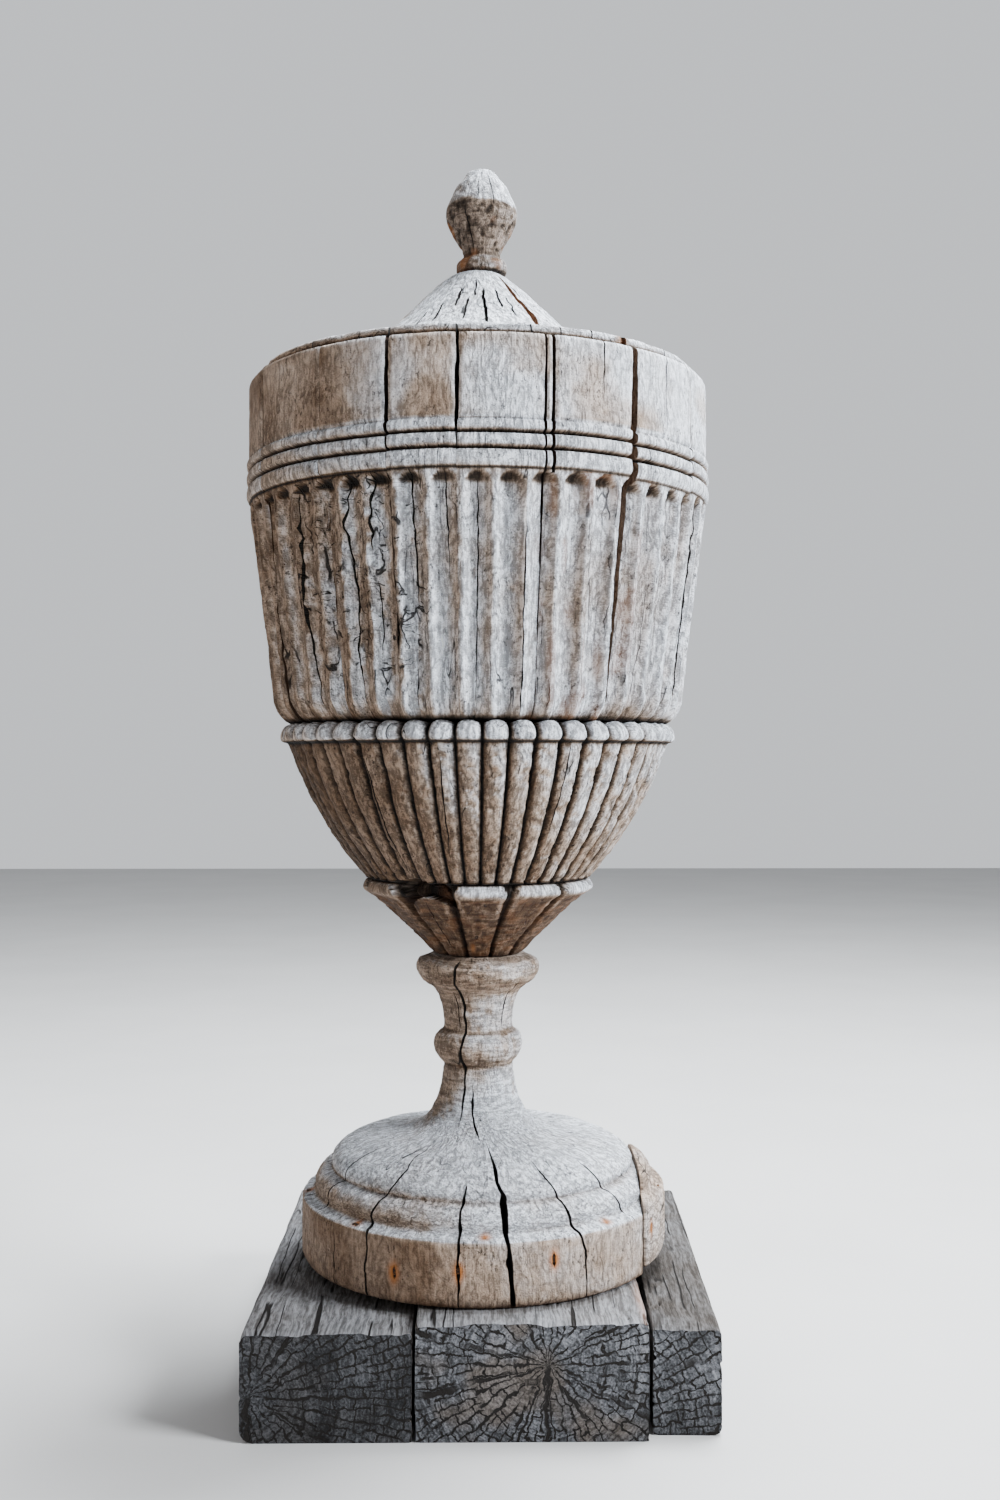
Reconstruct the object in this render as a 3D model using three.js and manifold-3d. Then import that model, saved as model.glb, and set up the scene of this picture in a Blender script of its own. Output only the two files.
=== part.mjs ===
// Antique wooden urn finial: fluted coopered drum on a reeded bowl with a tier of leaves, turned foot, low
// conical lid with a turned finial, standing on a plinth of three old timbers. Millimetres, +Z up, front at -Y.
import * as THREE from "three";
import { mergeVertices } from "three/addons/utils/BufferGeometryUtils.js";
import Module from "manifold-3d";

const wasm = await Module();
wasm.setup();

// Clearance between pieces that touch
const GAP = 0.3;

// Plinth: three timbers running from front to back
const TIMBER_LENGTH = 388;
const LEFT_TIMBER_WIDTH = 131.5;
const LEFT_TIMBER_HEIGHT = 83;
const MIDDLE_TIMBER_WIDTH = 179;
const MIDDLE_TIMBER_HEIGHT = 90;
const RIGHT_TIMBER_WIDTH = 53.5;
const RIGHT_TIMBER_HEIGHT = 81;
const RIGHT_TIMBER_SETBACK = 11;
const RIGHT_TIMBER_SPLAY = 1.6; // degrees, opening to the back
const LEFT_TIMBER_JOINT = 1.5; // open joint between left and middle timber
const RIGHT_TIMBER_JOINT = 3; // open joint between middle and right timber, at the front
const TIMBER_BEVEL = 4; // worn long edges

// The urn stands a little forward of the middle of the plinth
const URN_FORWARD = 11;
const URN_OFFSET = -3.5; // everything above the foot disc has crept to the left
const FINIAL_OFFSET = -0.5;

// Foot: disc, torus, dome, stem, knop and collar turned as one
const DISC_RADIUS = 157;
const DISC_HEIGHT = 52;
const DISC_EDGE = 2;
const LEDGE_WIDTH = 11;
const LEDGE_RISE = 5;
const TORUS_HEIGHT = 18;
const TORUS_DEPTH = 14.5;
const GROOVE_HEIGHT = 2;
const DOME_EDGE_HEIGHT = 5;
const DOME_EDGE_RADIUS = 12;
const DOME_RISE = 22;
const STEM_FOOT_RADIUS = 40;
const STEM_FLARE_HEIGHT = 13;
const STEM_RADIUS = 30.3;
const LOWER_STEM_HEIGHT = 44;
const KNOP_RADIUS = 39;
const KNOP_HEIGHT = 29.5;
const UPPER_STEM_HEIGHT = 14;
const COLLAR_CUP_RADIUS = 41.5;
const COLLAR_CUP_HEIGHT = 24;
const COLLAR_RADIUS = 54.7;
const COLLAR_HEIGHT = 26.7;
const COLLAR_TOP_RADIUS = 42;
const FOOT_SIDES = 30;

// The foot's long shrinkage split and the board that has come away at its right side
const SPLIT_ANGLE = 7.6;
const SPLIT_WIDTH = 3;
const SPLIT_START = 72;
const SEGMENT_MARGIN = 1.5; // how far outside the dome the side board's joint lies
const SEGMENT_PROUD = 2.5;
const SEGMENT_RAISE = 6;

// Bowl: beads, reeds and a tier of leaves
const CARVING_COUNT = 48; // flutes in the drum, beads and reeds in the bowl
const REEDS_PER_LEAF = 4;
const BOWL_TURN = 1.3; // degrees
const BOWL_BASE_RADIUS = 38;
const LEAF_HEIGHT = 64;
const LEAF_TOP_RADIUS = 102;
const LEAF_VALLEY = 3.5;
const LEAF_LIP = 6;
const REED_HEIGHT = 116;
const REED_TOP_RADIUS = 165;
const REED_DEPTH = 4.2;
const BEAD_HEIGHT = 20;
const BEAD_RADIUS = 173;
const BEAD_DEPTH = 4;
const BOWL_RIM_RADIUS = 166;
const BOWL_HOLLOW_DEPTH = 116;
const ROT_HOLE_ANGLE = -23;
const ROT_HOLE_WIDTH = 38;
const ROT_HOLE_HEIGHT = 17;
const ROT_HOLE_DEPTH = 26;

// Drum: sixteen staves with flutes below, three reeded mouldings and a plain band above
const DRUM_HEIGHT = 291.2;
const BAND_HEIGHT = 65.5;
const BAND_RADIUS = 199.7;
const MOULDING_HEIGHT = 35;
const MOULDING_PROUD = 2.7;
const MOULDING_GROOVE_DEPTH = 4;
const MOULDING_GROOVE_WIDTH = 2.4;
const FLUTE_TOP_INSET = 3.2; // below the mouldings, back from the band's face
const FLUTE_DEPTH = 5.5;
const FLUTE_SHARE = 0.68; // groove width as a share of the pitch
const FLUTE_HEAD = 9;
const DRUM_SHOULDER_HEIGHT = 26; // where the drum turns in above the beads
const DRUM_SHOULDER_RADIUS = 179.5;
const DRUM_BASE_RADIUS = 166.5;
const WALL_AT_TOP = 40;
const WALL_AT_BASE = 34.5;
// Joints that show at the front, in degrees to the right of front; the others are spaced evenly
const FRONT_JOINTS = [-62.7, -38.5, -20.4, -4.5, 15.1, 38.3];
const STAVE_COUNT = 16;
const OPEN_JOINT = 5; // index of the joint that has shrunk open
const OPEN_JOINT_WIDTH = 6.6;
const OPEN_JOINT_LEAN = 1.9; // degrees it runs to the left going down
const OPEN_STAVE_DROP = 1.6; // the stave right of the open joint sits lower in its mouldings
const SLIP_JOINT = 4; // index of the joint with the filler slip
const SLIP_WIDTH = 6.2;
const SLIP_DEPTH = 24;
const SLIP_HEIGHT = 104;

// Lid
const LID_RADIUS = 191.5;
const LID_EDGE_HEIGHT = 9;
const LID_RISE = 96;
const LID_TOP_RADIUS = 24;
const LID_SIDES = 28;

// Finial
const FINIAL_HEIGHT = 93.5;
const FINIAL_RADIUS = 31.4;
const FINIAL_RING_RADIUS = 22.5;
const FINIAL_RING_HEIGHT = 12;
const FINIAL_NECK_RADIUS = 16.3;
const FINIAL_SIDES = 16;

// Cut nails through the foot disc: [degrees right of front, share of the height or of the ledge]
const NAIL_HEAD = 5;
const NAIL_HEAD_THICKNESS = 2;
const NAIL_SHANK = 3;
const NAIL_LENGTH = 24;
const NAIL_SUNK = 0.6;
const SIDE_NAILS = [[-26.3, 0.47], [-6.6, 0.57], [21.2, 0.69], [62, 0.74]];
const LEDGE_NAILS = [[-84, 0.5], [-42.2, 0.5], [0.9, 0.5], [41.9, 0.5], [80, 0.5]];

const rad = (degrees) => (degrees * Math.PI) / 180;

// A point at radius r and angle a (from the front, positive to the right) about a vertical axis at x
const polar = (r, a, z, x = 0) => [x + r * Math.sin(a), -r * Math.cos(a) - URN_FORWARD, z];

// A ring is a list of points with their angles in rising order; a point ring has one entry.
function ring(radiusAt, angles, z, x = 0) {
  return { angles, points: angles.map((a, i) => polar(radiusAt(a, i), a, z, x)) };
}

function evenAngles(count, turn = 0) {
  return Array.from({ length: count }, (_, i) => ((i * 2 * Math.PI) / count) + turn);
}

// Closed or open skin through a series of rings whose point counts may differ. With sides, the first and last
// points of all rings are closed off by two flat cheeks laid out from sidePlan.
function skin(rings, { round, sidePlan } = {}) {
  const position = [];
  const index = [];
  const ids = rings.map((r) => r.points.map((p) => {
    position.push(...p);
    return position.length / 3 - 1;
  }));
  const bridge = (k, m) => {
    const a = [...ids[k]];
    const b = [...ids[m]];
    const ta = [...rings[k].angles];
    const tb = [...rings[m].angles];
    if (round) {
      for (const [list, angles] of [[a, ta], [b, tb]]) {
        if (list.length > 1) {
          list.push(list[0]);
          angles.push(angles[0] + 2 * Math.PI);
        }
      }
    }
    let i = 0;
    let j = 0;
    while (i < a.length - 1 || j < b.length - 1) {
      const stepA = j >= b.length - 1 || (i < a.length - 1 && ta[i + 1] <= tb[j + 1]);
      if (stepA) {
        index.push(a[i], a[i + 1], b[j]);
        i += 1;
      } else {
        index.push(a[i], b[j + 1], b[j]);
        j += 1;
      }
    }
  };
  const last = rings.length - 1;
  for (let k = 0; k < last; k += 1) {
    bridge(k, k + 1);
  }
  if (sidePlan) {
    bridge(last, 0);
    const outline = sidePlan.map(([r, z]) => new THREE.Vector2(r, z));
    const faces = THREE.ShapeUtils.triangulateShape(outline, []);
    const clockwise = THREE.ShapeUtils.isClockWise(outline);
    for (const [p, q, s] of faces) {
      const first = [ids[p][0], ids[q][0], ids[s][0]];
      const end = [ids[p].at(-1), ids[q].at(-1), ids[s].at(-1)];
      index.push(...(clockwise ? first.reverse() : first));
      index.push(...(clockwise ? end : end.reverse()));
    }
  }
  const geometry = new THREE.BufferGeometry();
  geometry.setAttribute("position", new THREE.Float32BufferAttribute(position, 3));
  geometry.setIndex(index);
  return outward(geometry);
}

function volume(geometry) {
  const p = geometry.getAttribute("position");
  const index = geometry.getIndex().array;
  const a = new THREE.Vector3();
  const b = new THREE.Vector3();
  const c = new THREE.Vector3();
  let sum = 0;
  for (let i = 0; i < index.length; i += 3) {
    a.fromBufferAttribute(p, index[i]);
    b.fromBufferAttribute(p, index[i + 1]);
    c.fromBufferAttribute(p, index[i + 2]);
    sum += a.dot(b.cross(c));
  }
  return sum / 6;
}

function outward(geometry) {
  if (volume(geometry) < 0) {
    const index = geometry.getIndex().array;
    for (let i = 0; i < index.length; i += 3) {
      [index[i + 1], index[i + 2]] = [index[i + 2], index[i + 1]];
    }
  }
  return geometry;
}

function solid(geometry) {
  const plain = geometry.clone();
  for (const name of Object.keys(plain.attributes)) {
    if (name !== "position") {
      plain.deleteAttribute(name);
    }
  }
  const merged = mergeVertices(plain, 1e-4);
  return new wasm.Manifold(new wasm.Mesh({
    numProp: 3,
    vertProperties: new Float32Array(merged.getAttribute("position").array),
    triVerts: new Uint32Array(merged.getIndex().array),
  }));
}

function fromSolid(body) {
  const mesh = body.getMesh();
  const geometry = new THREE.BufferGeometry();
  geometry.setAttribute("position", new THREE.Float32BufferAttribute(mesh.vertProperties, 3));
  geometry.setIndex(Array.from(mesh.triVerts));
  return geometry;
}

// A box with one face centred at the origin, reaching down local -Z
function sunkBox(width, depth, length, raise = 0) {
  const box = new THREE.BoxGeometry(width, depth, length);
  box.translate(0, 0, raise - length / 2);
  return box;
}

// A turned form: profile of [radius, height] pairs, from the axis below to the axis above
function turned(profile, sides, xAt = () => 0) {
  const rings = profile.map(([r, z]) => (r === 0
    ? { angles: [0], points: [polar(0, 0, z, xAt(z))] }
    : ring(() => r, evenAngles(sides), z, xAt(z))));
  return skin(rings, { round: true });
}

// Stack of heights
const FOOT_BASE = MIDDLE_TIMBER_HEIGHT + GAP;
const LEDGE_TOP = FOOT_BASE + DISC_HEIGHT + LEDGE_RISE;
const TORUS_TOP = LEDGE_TOP + TORUS_HEIGHT;
const DOME_BASE = TORUS_TOP + GROOVE_HEIGHT;
const DOME_SHOULDER = DOME_BASE + DOME_EDGE_HEIGHT + DOME_EDGE_RADIUS;
const DOME_TOP = DOME_BASE + DOME_EDGE_HEIGHT + DOME_RISE + 3;
const STEM_BASE = DOME_TOP + STEM_FLARE_HEIGHT;
const KNOP_BASE = STEM_BASE + LOWER_STEM_HEIGHT;
const KNOP_TOP = KNOP_BASE + KNOP_HEIGHT;
const CUP_BASE = KNOP_TOP + UPPER_STEM_HEIGHT;
const COLLAR_BASE = CUP_BASE + COLLAR_CUP_HEIGHT;
const FOOT_TOP = COLLAR_BASE + COLLAR_HEIGHT;
const BOWL_BASE = FOOT_TOP + GAP;
const LEAF_TOP = BOWL_BASE + LEAF_HEIGHT;
const REED_TOP = LEAF_TOP + REED_HEIGHT;
const BOWL_TOP = REED_TOP + BEAD_HEIGHT;
const DRUM_BASE = BOWL_TOP + GAP;
const DRUM_TOP = DRUM_BASE + DRUM_HEIGHT;
const MOULDING_TOP = DRUM_TOP - BAND_HEIGHT;
const MOULDING_BASE = MOULDING_TOP - MOULDING_HEIGHT;
const LID_BASE = DRUM_TOP + GAP;
const LID_EDGE_TOP = LID_BASE + LID_EDGE_HEIGHT;
const LID_TOP = LID_EDGE_TOP + LID_RISE;
const FINIAL_BASE = LID_TOP + GAP;

// Foot radii that follow from the disc
const TORUS_RADIUS = DISC_RADIUS - LEDGE_WIDTH;
const DOME_RADIUS = TORUS_RADIUS - TORUS_DEPTH;

const SEGMENT_JOINT = DOME_RADIUS + SEGMENT_MARGIN;

// The drum's wall
const INNER_TOP_RADIUS = BAND_RADIUS - WALL_AT_TOP;
const INNER_BASE_RADIUS = DRUM_BASE_RADIUS - WALL_AT_BASE;

// The disc stands true under the stem's foot and the stem has crept sideways above it
function footX(z) {
  const t = THREE.MathUtils.clamp((z - TORUS_TOP) / (STEM_BASE - TORUS_TOP), 0, 1);
  return URN_OFFSET * t * t * (3 - 2 * t);
}

function footProfile() {
  const stemMid = (STEM_BASE + KNOP_BASE) / 2;
  const flare = STEM_FOOT_RADIUS - STEM_RADIUS;
  const dome = DOME_RADIUS - DOME_EDGE_RADIUS;
  return [
    [0, FOOT_BASE],
    [DISC_RADIUS - DISC_EDGE, FOOT_BASE],
    [DISC_RADIUS, FOOT_BASE + DISC_EDGE],
    [DISC_RADIUS, FOOT_BASE + DISC_HEIGHT - DISC_EDGE],
    [DISC_RADIUS - DISC_EDGE, FOOT_BASE + DISC_HEIGHT],
    [TORUS_RADIUS - 1, LEDGE_TOP],
    [TORUS_RADIUS, LEDGE_TOP + TORUS_HEIGHT * 0.3],
    [TORUS_RADIUS - TORUS_DEPTH * 0.25, LEDGE_TOP + TORUS_HEIGHT * 0.72],
    [TORUS_RADIUS - TORUS_DEPTH * 0.7, LEDGE_TOP + TORUS_HEIGHT * 0.97],
    [DOME_RADIUS - GROOVE_HEIGHT, TORUS_TOP],
    [DOME_RADIUS, DOME_BASE],
    [DOME_RADIUS, DOME_BASE + DOME_EDGE_HEIGHT],
    [DOME_RADIUS - DOME_EDGE_RADIUS * 0.35, DOME_SHOULDER - DOME_EDGE_RADIUS * 0.45],
    [dome, DOME_SHOULDER],
    [STEM_FOOT_RADIUS + (dome - STEM_FOOT_RADIUS) * 0.62, DOME_SHOULDER + (DOME_TOP - DOME_SHOULDER) * 0.4],
    [STEM_FOOT_RADIUS + (dome - STEM_FOOT_RADIUS) * 0.2, DOME_TOP],
    [STEM_FOOT_RADIUS, STEM_BASE],
    [STEM_RADIUS + flare * 0.35, STEM_BASE + (stemMid - STEM_BASE) * 0.75],
    [STEM_RADIUS, KNOP_BASE],
    [STEM_RADIUS + (KNOP_RADIUS - STEM_RADIUS) * 0.8, KNOP_BASE + KNOP_HEIGHT * 0.32],
    [KNOP_RADIUS, KNOP_BASE + KNOP_HEIGHT * 0.6],
    [STEM_RADIUS + (KNOP_RADIUS - STEM_RADIUS) * 0.72, KNOP_BASE + KNOP_HEIGHT * 0.86],
    [STEM_RADIUS, KNOP_TOP],
    [STEM_RADIUS, CUP_BASE],
    [STEM_RADIUS + (COLLAR_CUP_RADIUS - STEM_RADIUS) * 0.4, CUP_BASE + COLLAR_CUP_HEIGHT * 0.58],
    [COLLAR_CUP_RADIUS, COLLAR_BASE],
    [COLLAR_CUP_RADIUS + (COLLAR_RADIUS - COLLAR_CUP_RADIUS) * 0.85, COLLAR_BASE + COLLAR_HEIGHT * 0.4],
    [COLLAR_RADIUS, COLLAR_BASE + COLLAR_HEIGHT * 0.64],
    [COLLAR_TOP_RADIUS, FOOT_TOP],
    [0, FOOT_TOP],
  ];
}

// Nails, as a head and a tapered shank, with the pockets they sit in
function nailGeometry() {
  const h = NAIL_HEAD / 2;
  const s = NAIL_SHANK / 2;
  const square = (half, z) => [[-half, -half, z], [half, -half, z], [half, half, z], [-half, half, z]];
  const levels = [
    square(h, -NAIL_SUNK),
    square(h, -NAIL_SUNK - NAIL_HEAD_THICKNESS),
    square(s, -NAIL_SUNK - NAIL_HEAD_THICKNESS),
    square(s * 0.4, -NAIL_LENGTH),
  ];
  const points = levels.flat();
  const index = [0, 1, 2, 0, 2, 3, 12, 14, 13, 12, 15, 14];
  for (let k = 0; k < 3; k += 1) {
    for (let i = 0; i < 4; i += 1) {
      const a = k * 4 + i;
      const b = k * 4 + ((i + 1) % 4);
      index.push(a, a + 4, b, b, a + 4, b + 4);
    }
  }
  const geometry = new THREE.BufferGeometry();
  geometry.setAttribute("position", new THREE.Float32BufferAttribute(points.flat(), 3));
  geometry.setIndex(index);
  return outward(geometry);
}

function nailPockets() {
  const head = NAIL_HEAD + 2 * GAP;
  const shank = NAIL_SHANK + 2 * GAP;
  return [
    sunkBox(head, head, NAIL_SUNK + NAIL_HEAD_THICKNESS + GAP + 8, 8),
    sunkBox(shank, shank, NAIL_LENGTH + GAP + 4, 4),
  ];
}

function sideNailFrame([degrees, share]) {
  const a = rad(degrees);
  const onSegment = DISC_RADIUS * Math.sin(a) > SEGMENT_JOINT;
  const r = DISC_RADIUS + (onSegment ? SEGMENT_PROUD : 0);
  const m = new THREE.Matrix4().makeRotationFromEuler(new THREE.Euler(Math.PI / 2, 0, a, "ZYX"));
  m.setPosition(...polar(r * Math.cos(Math.PI / FOOT_SIDES / 2), a, FOOT_BASE + DISC_HEIGHT * share));
  return m;
}

function ledgeNailFrame([degrees, share]) {
  const a = rad(degrees);
  const onSegment = (DISC_RADIUS - LEDGE_WIDTH / 2) * Math.sin(a) > SEGMENT_JOINT;
  const r = DISC_RADIUS - DISC_EDGE - (LEDGE_WIDTH - DISC_EDGE) * share;
  const raise = onSegment ? SEGMENT_RAISE : 0;
  const m = new THREE.Matrix4().makeRotationZ(a);
  const x = onSegment ? SEGMENT_PROUD : 0;
  m.setPosition(...polar(r, a, FOOT_BASE + DISC_HEIGHT + LEDGE_RISE * share + raise, x));
  return m;
}

const nailFrames = [...SIDE_NAILS.map(sideNailFrame), ...LEDGE_NAILS.map(ledgeNailFrame)];

function withPockets(body) {
  let result = body;
  for (const frame of nailFrames) {
    for (const pocket of nailPockets()) {
      result = result.subtract(solid(pocket.applyMatrix4(frame)));
    }
  }
  return result;
}

function footPieces() {
  const whole = turned(footProfile(), FOOT_SIDES, footX);
  const span = 2 * DISC_RADIUS;
  const high = DISC_HEIGHT + LEDGE_RISE + TORUS_HEIGHT + 4;
  // The side board is cut off by one upright plane
  const beyond = (start) => {
    const box = new THREE.BoxGeometry(span, span, high);
    box.translate(start + span / 2, -URN_FORWARD, FOOT_BASE - 2 + high / 2);
    return solid(box);
  };
  const splitLength = DISC_RADIUS + 12 - SPLIT_START;
  const split = new THREE.BoxGeometry(SPLIT_WIDTH, splitLength, DOME_TOP - FOOT_BASE + 20);
  split.translate(0, -SPLIT_START - splitLength / 2, FOOT_BASE - 5 + (DOME_TOP - FOOT_BASE + 20) / 2);
  split.rotateZ(rad(SPLIT_ANGLE));
  split.translate(0, -URN_FORWARD, 0);
  const foot = withPockets(solid(whole).subtract(beyond(SEGMENT_JOINT)).subtract(solid(split)));

  const board = solid(whole).intersect(beyond(SEGMENT_JOINT + GAP));
  const moved = fromSolid(board);
  moved.translate(SEGMENT_PROUD, 0, SEGMENT_RAISE);
  return [fromSolid(foot), fromSolid(withPockets(solid(moved)))];
}

// Bowl carving: shares of the pitch at which the reed's valley and shoulders lie
const reedShare = [0, 0.28, 0.72];

function carvedRing(count, shares, depth, radius, z, turn) {
  const pitch = (2 * Math.PI) / count;
  const angles = [];
  const radii = [];
  for (let i = 0; i < count; i += 1) {
    shares.forEach((s, k) => {
      angles.push((i + s) * pitch + turn);
      radii.push(radius - (k === 0 ? depth : 0));
    });
  }
  return ring((_, i) => radii[i], angles, z, URN_OFFSET);
}

function bowlGeometry() {
  const turn = rad(BOWL_TURN);
  const leaves = CARVING_COUNT / REEDS_PER_LEAF;
  const reed = (r, z, depth = REED_DEPTH) => carvedRing(CARVING_COUNT, reedShare, depth, r, z, turn);
  const leafTurn = turn - Math.PI / leaves;
  const leaf = (r, z, depth = LEAF_VALLEY) => carvedRing(leaves, [0, 0.1, 0.5, 0.9], depth, r, z, leafTurn);
  const plain = (r, z) => ring(() => r, evenAngles(24, turn), z, URN_OFFSET);
  const spread = LEAF_TOP_RADIUS - BOWL_BASE_RADIUS;
  const rise = REED_TOP_RADIUS - LEAF_TOP_RADIUS;
  const hollowFloor = BOWL_TOP - BOWL_HOLLOW_DEPTH;
  const rings = [
    { angles: [0], points: [polar(0, 0, BOWL_BASE, URN_OFFSET)] },
    leaf(BOWL_BASE_RADIUS, BOWL_BASE, 1),
    leaf(BOWL_BASE_RADIUS + spread * 0.34, BOWL_BASE + LEAF_HEIGHT * 0.34),
    leaf(BOWL_BASE_RADIUS + spread * 0.72, BOWL_BASE + LEAF_HEIGHT * 0.69),
    leaf(LEAF_TOP_RADIUS, LEAF_TOP - LEAF_LIP),
    leaf(LEAF_TOP_RADIUS - 0.5, LEAF_TOP - 1.5),
    reed(LEAF_TOP_RADIUS - 1.2, LEAF_TOP, 2.6),
    reed(LEAF_TOP_RADIUS + rise * 0.42, LEAF_TOP + REED_HEIGHT * 0.3),
    reed(LEAF_TOP_RADIUS + rise * 0.8, LEAF_TOP + REED_HEIGHT * 0.69),
    reed(REED_TOP_RADIUS, REED_TOP),
    reed(BEAD_RADIUS, REED_TOP + BEAD_HEIGHT * 0.36, BEAD_DEPTH),
    reed(BEAD_RADIUS - 1, REED_TOP + BEAD_HEIGHT * 0.68, BEAD_DEPTH),
    reed(BOWL_RIM_RADIUS, BOWL_TOP, 1),
    plain(INNER_BASE_RADIUS, BOWL_TOP),
    plain(INNER_BASE_RADIUS * 0.95, BOWL_TOP - BOWL_HOLLOW_DEPTH * 0.22),
    plain(INNER_BASE_RADIUS * 0.8, BOWL_TOP - BOWL_HOLLOW_DEPTH * 0.52),
    plain(INNER_BASE_RADIUS * 0.52, BOWL_TOP - BOWL_HOLLOW_DEPTH * 0.82),
    { angles: [0], points: [polar(0, 0, hollowFloor, URN_OFFSET)] },
  ];
  const bowl = skin(rings, { round: true });
  // A rotted pocket where one leaf's top has broken away
  const hole = new THREE.CylinderGeometry(0.5, 0.36, ROT_HOLE_DEPTH + 10, 9);
  hole.scale(ROT_HOLE_WIDTH, 1, ROT_HOLE_HEIGHT);
  hole.translate(0, 5 - ROT_HOLE_DEPTH / 2, 0);
  hole.rotateZ(Math.PI);
  hole.rotateZ(rad(ROT_HOLE_ANGLE));
  const place = polar(LEAF_TOP_RADIUS, rad(ROT_HOLE_ANGLE), LEAF_TOP - ROT_HOLE_HEIGHT * 0.42, URN_OFFSET);
  hole.translate(...place);
  return fromSolid(solid(bowl).subtract(solid(outward(mergeVertices(bare(hole), 1e-4)))));
}

function bare(geometry) {
  geometry.deleteAttribute("normal");
  geometry.deleteAttribute("uv");
  return geometry;
}

// Joint angles all round, in rising order
function jointAngles() {
  const first = FRONT_JOINTS[0];
  const last = FRONT_JOINTS.at(-1);
  const rest = STAVE_COUNT - (FRONT_JOINTS.length - 1);
  const step = (360 - (last - first)) / rest;
  const angles = [...FRONT_JOINTS];
  for (let i = 1; i < rest; i += 1) {
    angles.push(last + i * step);
  }
  return angles;
}

// Half the width of the joint beside a stave, which is more where the wood has shrunk
const jointHalf = (i) => (i % STAVE_COUNT === OPEN_JOINT ? OPEN_JOINT_WIDTH / 2 : GAP / 2);

function jointAngle(i, z) {
  const turns = Math.floor(i / STAVE_COUNT);
  const k = i % STAVE_COUNT;
  const lean = k === OPEN_JOINT ? -OPEN_JOINT_LEAN * ((DRUM_TOP - z) / DRUM_HEIGHT) : 0;
  return rad(joints[k] + 360 * turns + lean);
}

const joints = jointAngles();

function drumRadius(z) {
  // The fluted body's outer radius: turned in above the beads, then a straight flare up to the mouldings
  const shoulder = DRUM_BASE + DRUM_SHOULDER_HEIGHT;
  const top = BAND_RADIUS - FLUTE_TOP_INSET + 3;
  if (z >= shoulder) {
    return DRUM_SHOULDER_RADIUS + (top - DRUM_SHOULDER_RADIUS) * ((z - shoulder) / (MOULDING_BASE - shoulder));
  }
  const t = (shoulder - z) / DRUM_SHOULDER_HEIGHT;
  return DRUM_SHOULDER_RADIUS - (DRUM_SHOULDER_RADIUS - DRUM_BASE_RADIUS) * t * t * (0.55 + 0.45 * t);
}

function staveGeometry(n) {
  const pitch = (2 * Math.PI) / CARVING_COUNT;
  const drop = n === OPEN_JOINT ? OPEN_STAVE_DROP : 0;
  const edgeAt = (i, r, z, sign) => jointAngle(i, z) + sign * Math.asin(jointHalf(i) / r);
  const plainRing = (r, z, count = 3) => {
    const a0 = edgeAt(n, r, z, 1);
    const a1 = edgeAt(n + 1, r, z, -1);
    const angles = Array.from({ length: count + 1 }, (_, k) => a0 + ((a1 - a0) * k) / count);
    return { ...ring(() => r, angles, z, URN_OFFSET), edge: [r, z] };
  };
  // Groove cross-section: four points to a flute, the middle two on its floor
  const flutedRing = (z, depth, share) => {
    const r = drumRadius(z);
    const a0 = edgeAt(n, r, z, 1);
    const a1 = edgeAt(n + 1, r, z, -1);
    const half = (FLUTE_SHARE * share) / 2;
    const shape = [[-half, 0], [-half * 0.52, depth], [half * 0.52, depth], [half, 0]];
    const depthAt = (a) => {
      const u = a / pitch - Math.round(a / pitch);
      const w = Math.abs(u);
      if (w >= half) {
        return 0;
      }
      const inner = half * 0.52;
      return w <= inner ? depth : (depth * (half - w)) / (half - inner);
    };
    const angles = [a0];
    const middle0 = jointAngle(n, z) + pitch * 0.02;
    const middle1 = jointAngle(n + 1, z) - pitch * 0.02;
    for (let k = Math.floor(a0 / pitch) - 1; k <= Math.ceil(a1 / pitch) + 1; k += 1) {
      for (const [s] of shape) {
        const a = (k + s) * pitch;
        if (a > Math.max(a0, middle0) && a < Math.min(a1, middle1)) {
          angles.push(a);
        }
      }
    }
    angles.push(a1);
    return { ...ring((a) => r - depthAt(a), angles, z, URN_OFFSET), edge: [r - depthAt(a0), z] };
  };
  const mouldTop = MOULDING_TOP - drop;
  const mouldBase = MOULDING_BASE - drop;
  const face = BAND_RADIUS + MOULDING_PROUD;
  const reeds = 3;
  const groove = (k) => mouldTop - (MOULDING_HEIGHT * (k + 0.72)) / reeds;
  const grooveRings = (k) => {
    const z = groove(k);
    return [
      plainRing(face, z - MOULDING_GROOVE_WIDTH / 2),
      plainRing(face - MOULDING_GROOVE_DEPTH, z),
      plainRing(face, z + MOULDING_GROOVE_WIDTH / 2),
    ];
  };
  const head = mouldBase - FLUTE_TOP_INSET;
  const rings = [
    plainRing(drumRadius(DRUM_BASE), DRUM_BASE, 6),
    flutedRing(DRUM_BASE + 9, FLUTE_DEPTH * 0.8, 0.9),
    flutedRing(DRUM_BASE + DRUM_SHOULDER_HEIGHT, FLUTE_DEPTH, 1),
    flutedRing(head - FLUTE_HEAD, FLUTE_DEPTH, 1),
    flutedRing(head - FLUTE_HEAD * 0.35, FLUTE_DEPTH, 0.74),
    flutedRing(head, 1, 0.3),
    plainRing(drumRadius(head), mouldBase, 6),
    plainRing(face, mouldBase + 1),
    ...grooveRings(1),
    ...grooveRings(0),
    plainRing(face, mouldTop - 0.5),
    plainRing(BAND_RADIUS, mouldTop),
    plainRing(BAND_RADIUS, DRUM_TOP - 2),
    plainRing(BAND_RADIUS - 2, DRUM_TOP),
    plainRing(INNER_TOP_RADIUS, DRUM_TOP, 2),
    plainRing(INNER_BASE_RADIUS, DRUM_BASE, 2),
  ];
  return skin(rings, { sidePlan: rings.map((r) => r.edge) });
}

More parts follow.
